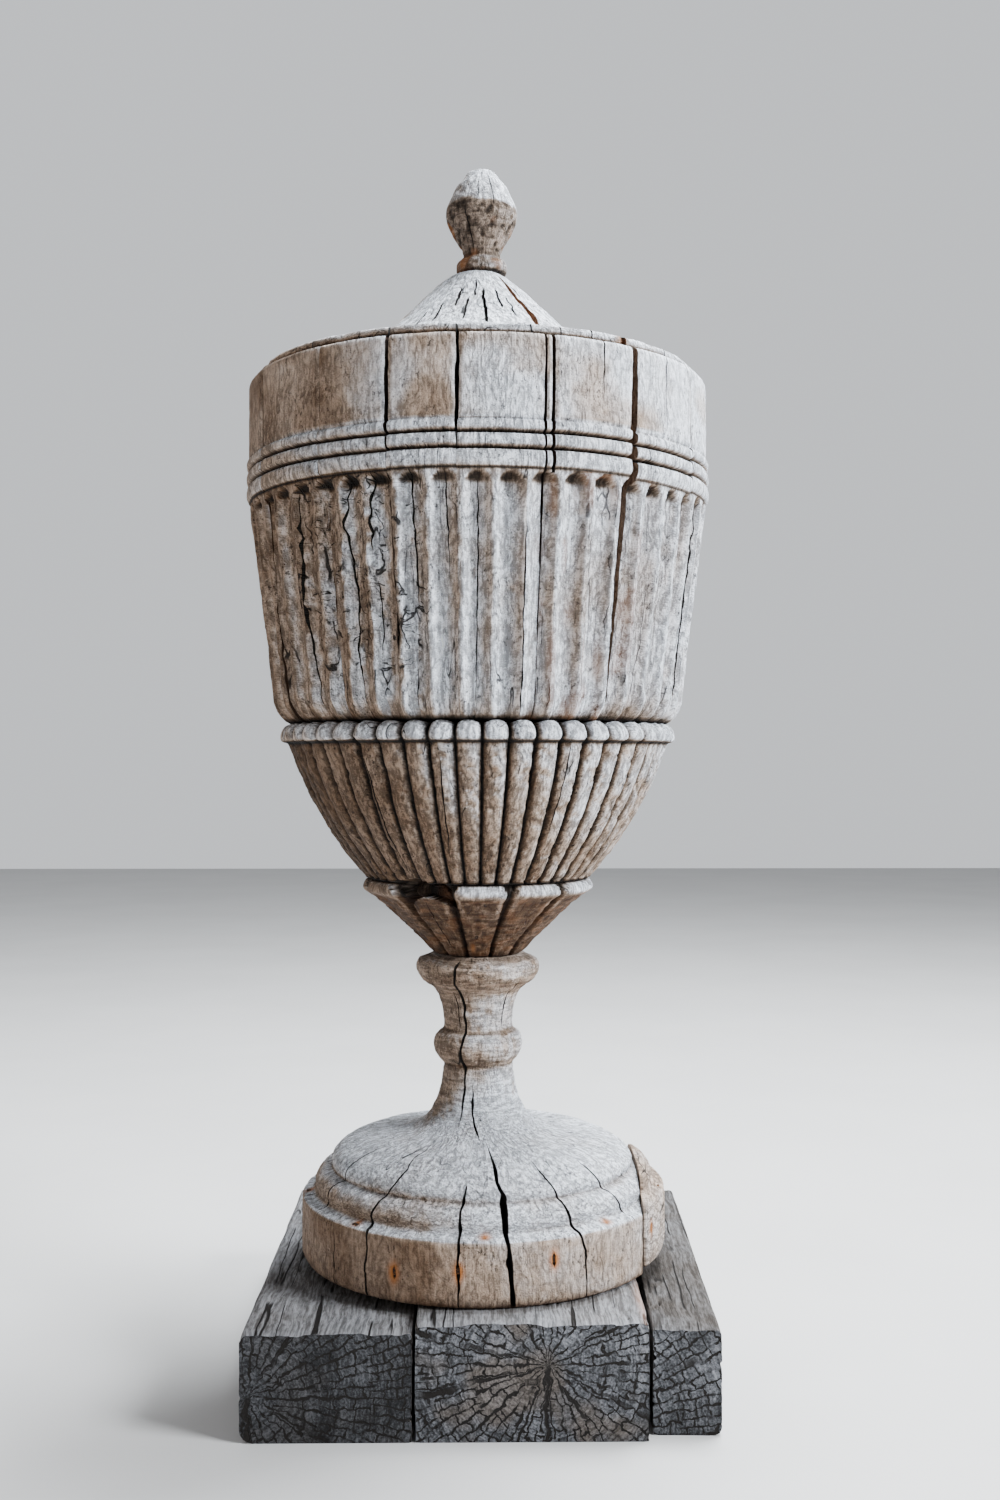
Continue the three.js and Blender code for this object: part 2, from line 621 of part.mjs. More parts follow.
// The slip let into one joint, from the band's top through the mouldings
function slipBox(clearance) {
  const r0 = BAND_RADIUS - SLIP_DEPTH - clearance;
  const r1 = BAND_RADIUS + (clearance > 0 ? 8 : 0.8);
  const width = SLIP_WIDTH + 2 * clearance;
  const height = SLIP_HEIGHT + clearance + (clearance > 0 ? 8 : 0);
  const box = new THREE.BoxGeometry(width, r1 - r0, height);
  box.translate(SLIP_WIDTH / 2 + GAP / 2, -(r0 + r1) / 2, 0);
  box.rotateZ(rad(joints[SLIP_JOINT]));
  box.translate(URN_OFFSET, -URN_FORWARD, DRUM_TOP - SLIP_HEIGHT - clearance + height / 2);
  return box;
}

function lidProfile() {
  const crown = LID_RADIUS - LID_TOP_RADIUS;
  const flare = [[0.97, 0.02], [0.76, 0.08], [0.56, 0.19], [0.4, 0.36], [0.3, 0.49], [0.19, 0.69], [0.08, 0.88]];
  return [
    [0, LID_BASE],
    [LID_RADIUS - 1, LID_BASE],
    [LID_RADIUS, LID_BASE + 1],
    [LID_RADIUS, LID_EDGE_TOP - 1],
    ...flare.map(([r, z]) => [LID_TOP_RADIUS + crown * r, LID_EDGE_TOP + LID_RISE * z]),
    [LID_TOP_RADIUS - 2, LID_TOP],
    [0, LID_TOP],
  ];
}

function finialProfile() {
  const bulb = FINIAL_HEIGHT - FINIAL_RING_HEIGHT;
  const neck = FINIAL_NECK_RADIUS;
  const swell = FINIAL_RADIUS - neck;
  const base = FINIAL_BASE + FINIAL_RING_HEIGHT;
  return [
    [0, FINIAL_BASE],
    [FINIAL_RING_RADIUS - 2, FINIAL_BASE],
    [FINIAL_RING_RADIUS, FINIAL_BASE + FINIAL_RING_HEIGHT * 0.3],
    [FINIAL_RING_RADIUS - 0.4, FINIAL_BASE + FINIAL_RING_HEIGHT * 0.7],
    [neck + 2, base],
    [neck, base + bulb * 0.07],
    [neck + swell * 0.35, base + bulb * 0.22],
    [neck + swell * 0.8, base + bulb * 0.37],
    [FINIAL_RADIUS, base + bulb * 0.5],
    [neck + swell * 0.9, base + bulb * 0.6],
    [neck + swell * 0.55, base + bulb * 0.75],
    [neck + swell * 0.2, base + bulb * 0.88],
    [neck * 0.62, base + bulb * 0.95],
    [0, base + bulb],
  ];
}

// One timber: a long prism with its four long edges worn, laid from front to back
function timberGeometry(width, height, length) {
  const b = TIMBER_BEVEL;
  const shape = new THREE.Shape();
  shape.moveTo(-width / 2 + b * 0.5, 0);
  shape.lineTo(width / 2 - b * 0.5, 0);
  shape.lineTo(width / 2, b * 0.5);
  shape.lineTo(width / 2, height - b);
  shape.lineTo(width / 2 - b, height);
  shape.lineTo(-width / 2 + b, height);
  shape.lineTo(-width / 2, height - b);
  shape.lineTo(-width / 2, b * 0.5);
  shape.closePath();
  const geometry = new THREE.ExtrudeGeometry(shape, { depth: length, bevelEnabled: false });
  geometry.rotateX(Math.PI / 2);
  return mergeVertices(bare(geometry), 1e-4);
}

const silver = 0xb4b0aa;
const wood = (color = silver, roughness = 0.85) => new THREE.MeshStandardMaterial({ color, roughness, metalness: 0 });

const group = new THREE.Group();
function add(name, geometry, material, place) {
  const mesh = new THREE.Mesh(geometry, material);
  mesh.name = name;
  if (place) {
    mesh.position.set(...place.position);
    mesh.rotation.z = place.turn ?? 0;
  }
  group.add(mesh);
  return mesh;
}

// The right timber turns about its front left corner; the plinth's front is centred on the origin
const splay = rad(RIGHT_TIMBER_SPLAY);
const rightLength = TIMBER_LENGTH - RIGHT_TIMBER_SETBACK;
const row = LEFT_TIMBER_WIDTH + LEFT_TIMBER_JOINT + MIDDLE_TIMBER_WIDTH + RIGHT_TIMBER_JOINT;
const leftEdge = -(row + RIGHT_TIMBER_WIDTH) / 2;
const middleEdge = leftEdge + LEFT_TIMBER_WIDTH + LEFT_TIMBER_JOINT;
const rightEdge = leftEdge + row;
const rear = TIMBER_LENGTH / 2;

add("plinth_timber_left", timberGeometry(LEFT_TIMBER_WIDTH, LEFT_TIMBER_HEIGHT, TIMBER_LENGTH), wood(0x77736d), {
  position: [leftEdge + LEFT_TIMBER_WIDTH / 2, rear, 0],
});
add("plinth_timber_middle", timberGeometry(MIDDLE_TIMBER_WIDTH, MIDDLE_TIMBER_HEIGHT, TIMBER_LENGTH), wood(0x7a746c), {
  position: [middleEdge + MIDDLE_TIMBER_WIDTH / 2, rear, 0],
});
const rightTimber = timberGeometry(RIGHT_TIMBER_WIDTH, RIGHT_TIMBER_HEIGHT, rightLength);
rightTimber.translate(RIGHT_TIMBER_WIDTH / 2, rightLength, 0);
add("plinth_timber_right", rightTimber, wood(0x7d7973), {
  position: [rightEdge, -rear + RIGHT_TIMBER_SETBACK, 0],
  turn: -splay,
});

const [foot, segment] = footPieces();
add("foot", foot, wood());
add("foot_side_board", segment, wood());
add("bowl", bowlGeometry(), wood());

for (let n = 0; n < STAVE_COUNT; n += 1) {
  let stave = staveGeometry(n);
  if (n === SLIP_JOINT) {
    stave = fromSolid(solid(stave).subtract(solid(slipBox(GAP))));
  }
  add(`drum_stave_${String(n + 1).padStart(2, "0")}`, stave, wood());
}
add("drum_filler_slip", bare(slipBox(0)), wood(0xc4c0ba));
add("lid", turned(lidProfile(), LID_SIDES, () => URN_OFFSET), wood());
add("finial", turned(finialProfile(), FINIAL_SIDES, () => FINIAL_OFFSET), wood(0x8d7f72));

nailFrames.forEach((frame, i) => {
  const kind = i < SIDE_NAILS.length ? `side_nail_${i + 1}` : `ledge_nail_${i + 1 - SIDE_NAILS.length}`;
  const iron = new THREE.MeshStandardMaterial({ color: 0x6b3a22, roughness: 0.9, metalness: 0.3 });
  add(kind, nailGeometry().applyMatrix4(frame), iron);
});

export default group;
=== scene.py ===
"""Looks for a weathered carved wooden urn: plinth, foot, leaves, reeded bowl, fluted drum, lid, finial."""

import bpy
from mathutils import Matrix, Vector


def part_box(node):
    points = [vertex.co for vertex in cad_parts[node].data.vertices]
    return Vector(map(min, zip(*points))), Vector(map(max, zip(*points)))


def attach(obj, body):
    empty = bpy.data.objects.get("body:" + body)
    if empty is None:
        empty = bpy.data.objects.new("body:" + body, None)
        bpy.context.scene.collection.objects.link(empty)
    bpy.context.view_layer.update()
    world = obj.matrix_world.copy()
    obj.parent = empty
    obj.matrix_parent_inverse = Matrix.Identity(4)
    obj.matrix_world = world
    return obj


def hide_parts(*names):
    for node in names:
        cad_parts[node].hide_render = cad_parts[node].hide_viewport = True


bl_info = {
    "name": "Weathered wooden urn",
    "version": (1, 0, 0),
    "blender": (4, 5, 0),
    "location": "View3D > Sidebar > Urn",
    "description": "Builds the carved surfaces and finishes of an old wooden urn around its solid frame",
    "category": "Object",
}

import math

import bpy
import numpy as np

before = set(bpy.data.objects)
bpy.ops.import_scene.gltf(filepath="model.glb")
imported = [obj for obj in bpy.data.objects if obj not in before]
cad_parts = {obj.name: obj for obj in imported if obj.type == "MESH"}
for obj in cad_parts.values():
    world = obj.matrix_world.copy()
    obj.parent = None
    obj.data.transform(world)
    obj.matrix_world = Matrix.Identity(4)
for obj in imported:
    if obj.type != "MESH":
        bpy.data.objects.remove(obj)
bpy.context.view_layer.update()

MM = 0.001
TAU = 2 * math.pi
BODY = "root"
CENTRE_Y = -11 * MM
CENTRE_X = -3.5 * MM
FINIAL_X = -0.5 * MM

# The drum's foot and top, from the frame to a tenth of a millimetre, and the heights between its parts
DRUM_FOOT, DRUM_TOP = (round(corner.z, 4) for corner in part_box("drum_stave_01"))
FLUTES_TOP = 738 * MM
MOULDINGS_FOOT = 739 * MM
BAND_FOOT = 776 * MM

# Angle round the urn of one flute, reed or bead
PITCH = TAU / 48
STAVES = 16
# Angles in degrees of the joints seen from the front, and how wide each is open in millimetres: at the drum's
# foot, under the mouldings, and in the band. The joints behind are open as HIDDEN_OPENING says.
JOINTS = [-62.7, -38.5, -20.4, -4.5, 15.1, 38.3]
JOINT_OPENING = [(0.5, 0.6, 1.6), (0.4, 0.4, 0.5), (0.5, 1.4, 4.0), (0.4, 1.0, 3.8), (1.4, 3.0, 3.0),
                 (6.2, 6.8, 7.2)]
HIDDEN_OPENING = (0.7, 0.8, 1.4)
# The widest joint, the stave that the slip stands beside, and the slip's width in degrees
WIDE_JOINT = 5
SLIP_STAVE = 4
SLIP_ANGLE = 1.87


# Shaping helpers

def smooth(low, high, x):
    """0 below low, 1 above high, 3t^2 - 2t^3 between."""
    t = np.clip((x - low) / (high - low), 0, 1)
    return t * t * (3 - 2 * t)


def bell(x, width):
    """exp(-(x / width)^2)."""
    return np.exp(-(x / width) ** 2)


def lattice(i, j, k, seed):
    """A repeatable random number from 0 to 1 for each whole-number lattice point."""
    n = (i * 374761393 + j * 668265263 + k * 1442695041 + seed * 974634777) & 0xFFFFFFFF
    n = ((n ^ (n >> 13)) * 1274126177) & 0xFFFFFFFF
    return ((n ^ (n >> 16)) & 0xFFFF) / 65535.0


def noise(p, size, seed=0):
    """Smooth noise from -1 to 1: random values on a lattice of cells of that size, blended by 3t^2 - 2t^3."""
    q = p / np.asarray(size)
    cell = np.floor(q).astype(np.int64)
    t = q - cell
    t = t * t * (3 - 2 * t)
    total = np.zeros(p.shape[:-1])
    for corner in range(8):
        d = np.array([corner & 1, (corner >> 1) & 1, (corner >> 2) & 1])
        weight = np.prod(np.where(d == 1, t, 1 - t), axis=-1)
        at = cell + d
        total += weight * lattice(at[..., 0], at[..., 1], at[..., 2], seed)
    return 2 * total - 1


def layered(p, size, octaves=3, seed=0):
    """Sum of noise at size, size / 2, size / 4 and so on, each at half the strength of the last."""
    size = np.asarray(size, float)
    return sum(noise(p, size / 2 ** o, seed + 17 * o) / 2 ** o for o in range(octaves))


def profile(*parts):
    """Stepped points along lines of (radius, height) corners in mm, each line with its own step, joined end to
    end and eased by 1-2-1 averaging. Gives radius, height, length along, and which line each point is from."""
    radius, height, which = [], [], []
    for k, (points, step) in enumerate(parts):
        p = np.array(points, float) * MM
        along = np.concatenate([[0], np.cumsum(np.hypot(*np.diff(p, axis=0).T))])
        s = np.linspace(0, along[-1], max(3, int(along[-1] / (step * MM))))
        r = np.interp(s, along, p[:, 0])
        z = np.interp(s, along, p[:, 1])
        r[1:-1] = (r[:-2] + 2 * r[1:-1] + r[2:]) / 4
        z[1:-1] = (z[:-2] + 2 * z[1:-1] + z[2:]) / 4
        first = 1 if k else 0
        radius.append(r[first:])
        height.append(z[first:])
        which.append(np.full(len(r) - first, k))
    r, z = np.concatenate(radius), np.concatenate(height)
    s = np.concatenate([[0], np.cumsum(np.hypot(np.diff(r), np.diff(z)))])
    return r, z, s, np.concatenate(which)


def crack_grid(base, t, live, radius, cracks):
    """Angles and crack depths for a grid. Each crack (at, path, width, depth) has ten columns of its own, at
    at + path(t) with half-width width(t) / 2 / radius. Neighbours shift by a cosine window so that none cross,
    and beyond the crack's ends the columns go back to their places. The depth across a crack is
    depth * (1 - o^4), with o from -1 at one lip to 1 at the other. Also gives the depth of the first crack
    alone, and which columns are a crack's own. Rows that aren't live have no cracks."""
    offsets = np.array([-1.8, -1.15, -1, -0.75, -0.3, 0.3, 0.75, 1, 1.15, 1.8])
    window = math.radians(16)
    lips = []
    columns = base
    for at, *_ in cracks:
        a = math.radians(at)
        columns = columns[np.abs(columns - a) > 0.006]
        lips.append(a)
    owner = np.full(len(columns), -1)
    offset = np.zeros(len(columns))
    for k, a in enumerate(lips):
        columns = np.concatenate([columns, a + offsets * 1e-4])
        owner = np.concatenate([owner, np.full(10, k)])
        offset = np.concatenate([offset, offsets])
    order = np.argsort(columns, kind="stable")
    columns, owner, offset = columns[order], owner[order], offset[order]
    angles = np.repeat(columns[None], len(t), 0)
    depth = np.zeros_like(angles)
    for k, (at, path, width, deep) in enumerate(cracks):
        shift = np.radians(np.interp(t, *np.array(path, float).T)) if path else np.zeros(len(t))
        line = np.stack([t * MM, 0 * t + k * 3.1, 0 * t], -1)
        open_by = np.interp(t, *np.array(width, float).T) * MM * live
        opened = t[open_by > 0]
        beyond = np.maximum(opened.min() - t, t - opened.max())
        shift = shift * (1 - smooth(2, 14, beyond))
        shift = shift + 0.5 * MM * layered(line, [9 * MM, 1, 1], 2, 19) / radius
        open_by = open_by * (1 + 0.35 * noise(line, [6 * MM, 1, 1], 18))
        away = (columns - lips[k]) / window
        near = np.abs(away) < 1
        angles[:, near] += shift[:, None] * np.cos(away[near] * math.pi / 2)[None] ** 2
        own = owner == k
        half = np.maximum(open_by / 2, 0.25 * MM) / radius
        others = near & ~own
        give = np.sign(away[others]) * (1 - np.abs(away[others]))
        angles[:, others] += 1.9 * half[:, None] * give[None]
        angles[:, own] += offset[own][None] * (half[:, None] - 1e-4)
        across = np.clip(1 - offset[own] ** 4, 0, 1)
        amount = np.clip(open_by / (0.8 * MM), 0, 1)
        depth[:, own] += deep * MM * amount[:, None] * across[None]
    first = np.where(owner == 0, depth, 0)
    return angles, depth, first, owner >= 0


def bridged(values, own):
    """A grid's values, with those of the cracks' own columns drawn straight across from the columns beside."""
    index = np.arange(values.shape[1])
    keep = index[~own]
    after = np.searchsorted(keep, index)
    left, right = keep[np.clip(after - 1, 0, None)], keep[np.clip(after, None, len(keep) - 1)]
    share = np.clip((index - left) / np.maximum(right - left, 1), 0, 1)
    return np.where(own, values[:, left] * (1 - share) + values[:, right] * share, values)


def lipped(depth):
    """Crack depths spread one column each way, so that a crack is dark up to its lips."""
    return np.maximum(depth, np.maximum(np.roll(depth, 1, 1), np.roll(depth, -1, 1)))


def normals(p, wrap=True):
    """Unit normals of a grid of points: the cross product of its differences across and along."""
    if wrap:
        across = np.roll(p, -1, 1) - np.roll(p, 1, 1)
    else:
        across = np.gradient(p, axis=1)
    along = np.gradient(p, axis=0)
    n = np.cross(across, along)
    return n / np.maximum(np.linalg.norm(n, axis=-1, keepdims=True), 1e-12)


def spread(values, columns):
    """One value for each row, repeated in every column."""
    return np.repeat(values[:, None], columns, 1)


def polar(radius, angle, height, x=CENTRE_X):
    """Points at (x + r sin a, y - r cos a, z) about the urn's upright axis."""
    return np.stack([x + radius * np.sin(angle), CENTRE_Y - radius * np.cos(angle), height + 0 * angle], -1)


def wrapped_faces(rows, columns, first=0):
    """Quads of a grid whose last column joins its first."""
    i = np.arange(rows - 1)[:, None] * columns
    j = np.arange(columns)[None]
    k = (j + 1) % columns
    return (first + np.stack([i + j, i + k, i + columns + k, i + columns + j], -1)).reshape(-1, 4)


def signed_volume(points, faces):
    """Six times the volume inside the faces, positive where they point out."""
    total = 0.0
    for face in faces:
        f = np.asarray(face).reshape(len(face), -1) if isinstance(face, np.ndarray) else np.array([face])
        for k in range(1, f.shape[1] - 1):
            a, b, c = points[f[:, 0]], points[f[:, k]], points[f[:, k + 1]]
            total += float(np.einsum("ij,ij->", a, np.cross(b, c)))
    return total


def add_piece(name, points, faces, marks, material, replaces, sharp=48):
    """Puts arrays of points and faces into a new mesh object that rides on the frame."""
    points = np.asarray(points)
    if signed_volume(points, faces) < 0:
        faces = [f[:, ::-1] if isinstance(f, np.ndarray) else f[::-1] for f in faces]
    listed = []
    for f in faces:
        listed += f.tolist() if isinstance(f, np.ndarray) else [list(f)]
    mesh = bpy.data.meshes.new(name)
    mesh.from_pydata(points.tolist(), [], listed)
    mesh.polygons.foreach_set("use_smooth", np.ones(len(mesh.polygons), bool))
    for mark, values in marks.items():
        values = np.asarray(values, np.float32)
        kind = "FLOAT_VECTOR" if values.ndim == 2 else "FLOAT"
        layer = mesh.attributes.new(mark, kind, "POINT")
        layer.data.foreach_set("vector" if values.ndim == 2 else "value", values.ravel())
    mesh.set_sharp_from_angle(angle=math.radians(sharp))
    mesh.materials.append(material)
    mesh.update()
    piece = bpy.data.objects.new(name, mesh)
    bpy.context.scene.collection.objects.link(piece)
    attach(piece, BODY)
    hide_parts(*replaces)
    return piece


def turned_piece(name, p, lay, marks, material, slot, replaces):
    """A grid of rings closed by a point at the middle of its first and of its last ring."""
    rows, columns = p.shape[:2]
    flat = p.reshape(-1, 3)
    ends = np.stack([p[0].mean(0), p[-1].mean(0)])
    points = np.concatenate([flat, ends])
    count = rows * columns
    j = np.arange(columns)
    k = (j + 1) % columns
    low = np.stack([np.full(columns, count), k, j], -1)
    top = np.stack([np.full(columns, count + 1), count - columns + j, count - columns + k], -1)
    full = {"lay": np.concatenate([lay.reshape(-1, 3), ends])}
    for mark, values in marks.items():
        full[mark] = np.concatenate([values.ravel(), [values[0].mean(), values[-1].mean()]])
    faces = [wrapped_faces(rows, columns), low, top]
    return add_piece(name, points, faces, full, material, replaces)


def lay_of(angles, along, reference):
    """Where the grain lies: round a cylinder about as wide as the piece is there, and up it the distance along
    the profile, so that fibres run along the profile and close round."""
    r = np.broadcast_to(reference, along.shape)[:, None] * MM
    return np.stack([r * np.sin(angles), -r * np.cos(angles), along[:, None] + 0 * angles], -1)


def weathering(p, seed=0):
    """Worn wood, in metres: soft hollows 28 mm across, lumps 8 mm across, and a crinkle of folded noise
    1 - 2 |n| about 4.5 mm across whose field is itself pushed about by slower noise, so that it swirls."""
    wear = 0.7 * layered(p, [28 * MM] * 3, 2, seed) + 0.32 * layered(p, [8 * MM] * 3, 2, seed + 5)
    swirl = p + 6 * MM * noise(p, [24 * MM] * 3, seed + 6)[..., None]
    wear += 0.26 * (0.5 - 2 * np.abs(noise(swirl, [4.5 * MM, 4.5 * MM, 6 * MM], seed + 9)))
    return wear * MM


# The side the key light comes from: wood that faces it is painted paler, painted light as well as weather
# bleaching
LIGHT_SIDE = np.array([0.72, -0.48, 0.5])


def lit_and_bleached(p, own, relief=0.0, wrap=True):
    """How pale the wood is painted: 0 to 1 as its normal turns towards the key light, painted light as well as
    bleaching, and more where it stands proud, a painted highlight as well as wear.
    """
    facing = bridged(normals(p, wrap) @ (LIGHT_SIDE / np.linalg.norm(LIGHT_SIDE)), own)
    broad = noise(p, [70 * MM] * 3, 8)
    return np.clip(smooth(-0.5, 0.92, facing) + 0.22 * relief / MM + 0.12 * broad + 0.04, 0, 1)


# Materials

class Graph:
    """A short way to write a node tree."""

    def __init__(self, name):
        self.material = bpy.data.materials.new(name)
        self.material.use_nodes = True
        self.tree = self.material.node_tree
        self.tree.nodes.clear()

    def node(self, kind, inputs=(), **settings):
        """A new node with its inputs, which are sockets or values, and its settings."""
        made = self.tree.nodes.new(kind)
        for key, value in settings.items():
            setattr(made, key, value)
        for key, value in dict(inputs).items():
            if isinstance(value, bpy.types.NodeSocket):
                self.tree.links.new(value, made.inputs[key])
            else:
                made.inputs[key].default_value = value
        return made

    def mark(self, name, vector=False):
        """An attribute of the mesh."""
        made = self.node("ShaderNodeAttribute", attribute_name=name)
        return made.outputs["Vector" if vector else "Fac"]

    def stretch(self, vector, scale):
        """The vector scaled along each axis."""
        return self.node("ShaderNodeMapping", {"Vector": vector, "Scale": scale}).outputs["Vector"]

    def grainy(self, vector, scale, detail=3.0, roughness=0.6):
        """Noise from 0 to 1."""
        values = {"Vector": vector, "Scale": scale, "Detail": detail, "Roughness": roughness}
        return self.node("ShaderNodeTexNoise", values).outputs["Fac"]

    def warp(self, vector, scale, reach):
        """The vector pushed about by noise, up to half that reach each way."""
        values = {"Vector": vector, "Scale": scale, "Detail": 2.0}
        push = self.node("ShaderNodeTexNoise", values).outputs["Color"]
        push = self.node("ShaderNodeVectorMath", {0: push, 1: (reach,) * 3}, operation="MULTIPLY").outputs[0]
        return self.node("ShaderNodeVectorMath", {0: vector, 1: push}, operation="ADD").outputs[0]

    def remap(self, value, low, high, to_low=0.0, to_high=1.0):
        """The value eased from to_low, at or below low, to to_high, at or above high."""
        values = {"Value": value, "From Min": low, "From Max": high, "To Min": to_low, "To Max": to_high}
        return self.node("ShaderNodeMapRange", values, interpolation_type="SMOOTHSTEP").outputs["Result"]

    def maths(self, operation, a, b=0.0):
        return self.node("ShaderNodeMath", {0: a, 1: b}, operation=operation).outputs[0]

    def times(self, a, b):
        return self.maths("MULTIPLY", a, b)

    def larger(self, a, b):
        return self.maths("MAXIMUM", a, b)

    def inverse(self, value):
        """1 - value."""
        return self.maths("SUBTRACT", 1.0, value)

    def from_middle(self, vector, scale, detail):
        """How far noise is from its middle value, either way."""
        return self.maths("ABSOLUTE", self.maths("SUBTRACT", self.grainy(vector, scale, detail), 0.5))

    def mix(self, amount, a, b):
        """a and b, numbers, blended by an amount."""
        return self.node("ShaderNodeMix", {0: amount, 2: a, 3: b}).outputs[0]

    def place(self, x, y):
        """The vector (x, y, 0)."""
        return self.node("ShaderNodeCombineXYZ", {0: x, 1: y}).outputs[0]

    def total(self, *terms):
        """Sum of value * weight for every (value, weight)."""
        parts = [self.times(value, weight) for value, weight in terms]
        out = parts[0]
        for part in parts[1:]:
            out = self.maths("ADD", out, part)
        return out

    def folds(self, vector, scale, width):
        """Crinkled skin: 0 in thin valleys, where noise is at its middle value, rising to 1 on the crests."""
        return self.remap(self.from_middle(vector, scale, 1.0), 0.0, width)

    def lines(self, vector, scale, width, detail=2.0):
        """Thin wandering lines: where noise is within that width of its middle value."""
        return self.remap(self.from_middle(vector, scale, detail), width, width * 0.35)

    def spokes(self, away, angle, count, radius, length, width):
        """Cracks of one width in metres that run out from a pith: so many round it, joined every length by
        short ones round it that start at random for each spoke. The radius is where they are that far apart.
        They are the mortar of a brick pattern laid in centimetres, along by the distance from the pith and up
        by the angle round it."""
        row = self.maths("FLOOR", self.times(angle, count / TAU))
        shift = self.node("ShaderNodeTexWhiteNoise", {"W": row}, noise_dimensions="1D").outputs["Value"]
        along = self.total((away, 100.0), (shift, 100 * length))
        sizes = {"Vector": self.place(along, self.times(angle, 100 * radius)), "Scale": 1.0,
                 "Mortar Size": 50 * width, "Mortar Smooth": 0.35,
                 "Brick Width": 100 * length, "Row Height": 100 * TAU * radius / count}
        return self.node("ShaderNodeTexBrick", sizes, offset=0.0).outputs["Fac"]

    def blend(self, amount, a, b, mode="MIX"):
        """a and b, colours, blended by an amount."""
        made = self.node("ShaderNodeMix", {0: amount, 6: a, 7: b}, data_type="RGBA", blend_type=mode)
        return made.outputs[2]

    def dim(self, colour, shade):
        """The colour times a shade."""
        grey = self.node("ShaderNodeCombineColor", {0: shade, 1: shade, 2: shade}).outputs[0]
        return self.blend(1.0, colour, grey, "MULTIPLY")

    def bump(self, height, strength, distance, normal=None):
        """The normal tilted by a height, on top of another bump where one is given."""
        values = {"Height": height, "Strength": strength, "Distance": distance}
        if normal is not None:
            values["Normal"] = normal
        return self.node("ShaderNodeBump", values).outputs["Normal"]

    def finish(self, colour, normal, rough):
        """The finished material: a plain dull surface of that colour and normal."""
        looks = {"Base Color": colour, "Normal": normal, "Roughness": rough, "Specular IOR Level": 0.25}
        shader = self.node("ShaderNodeBsdfPrincipled", looks)
        out = self.node("ShaderNodeOutputMaterial")
        self.tree.links.new(shader.outputs[0], out.inputs["Surface"])
        return self.material


def four(colour, gain=1.0):
    """A colour times a gain, with full alpha."""
    return (colour[0] * gain, colour[1] * gain, colour[2] * gain, 1.0)


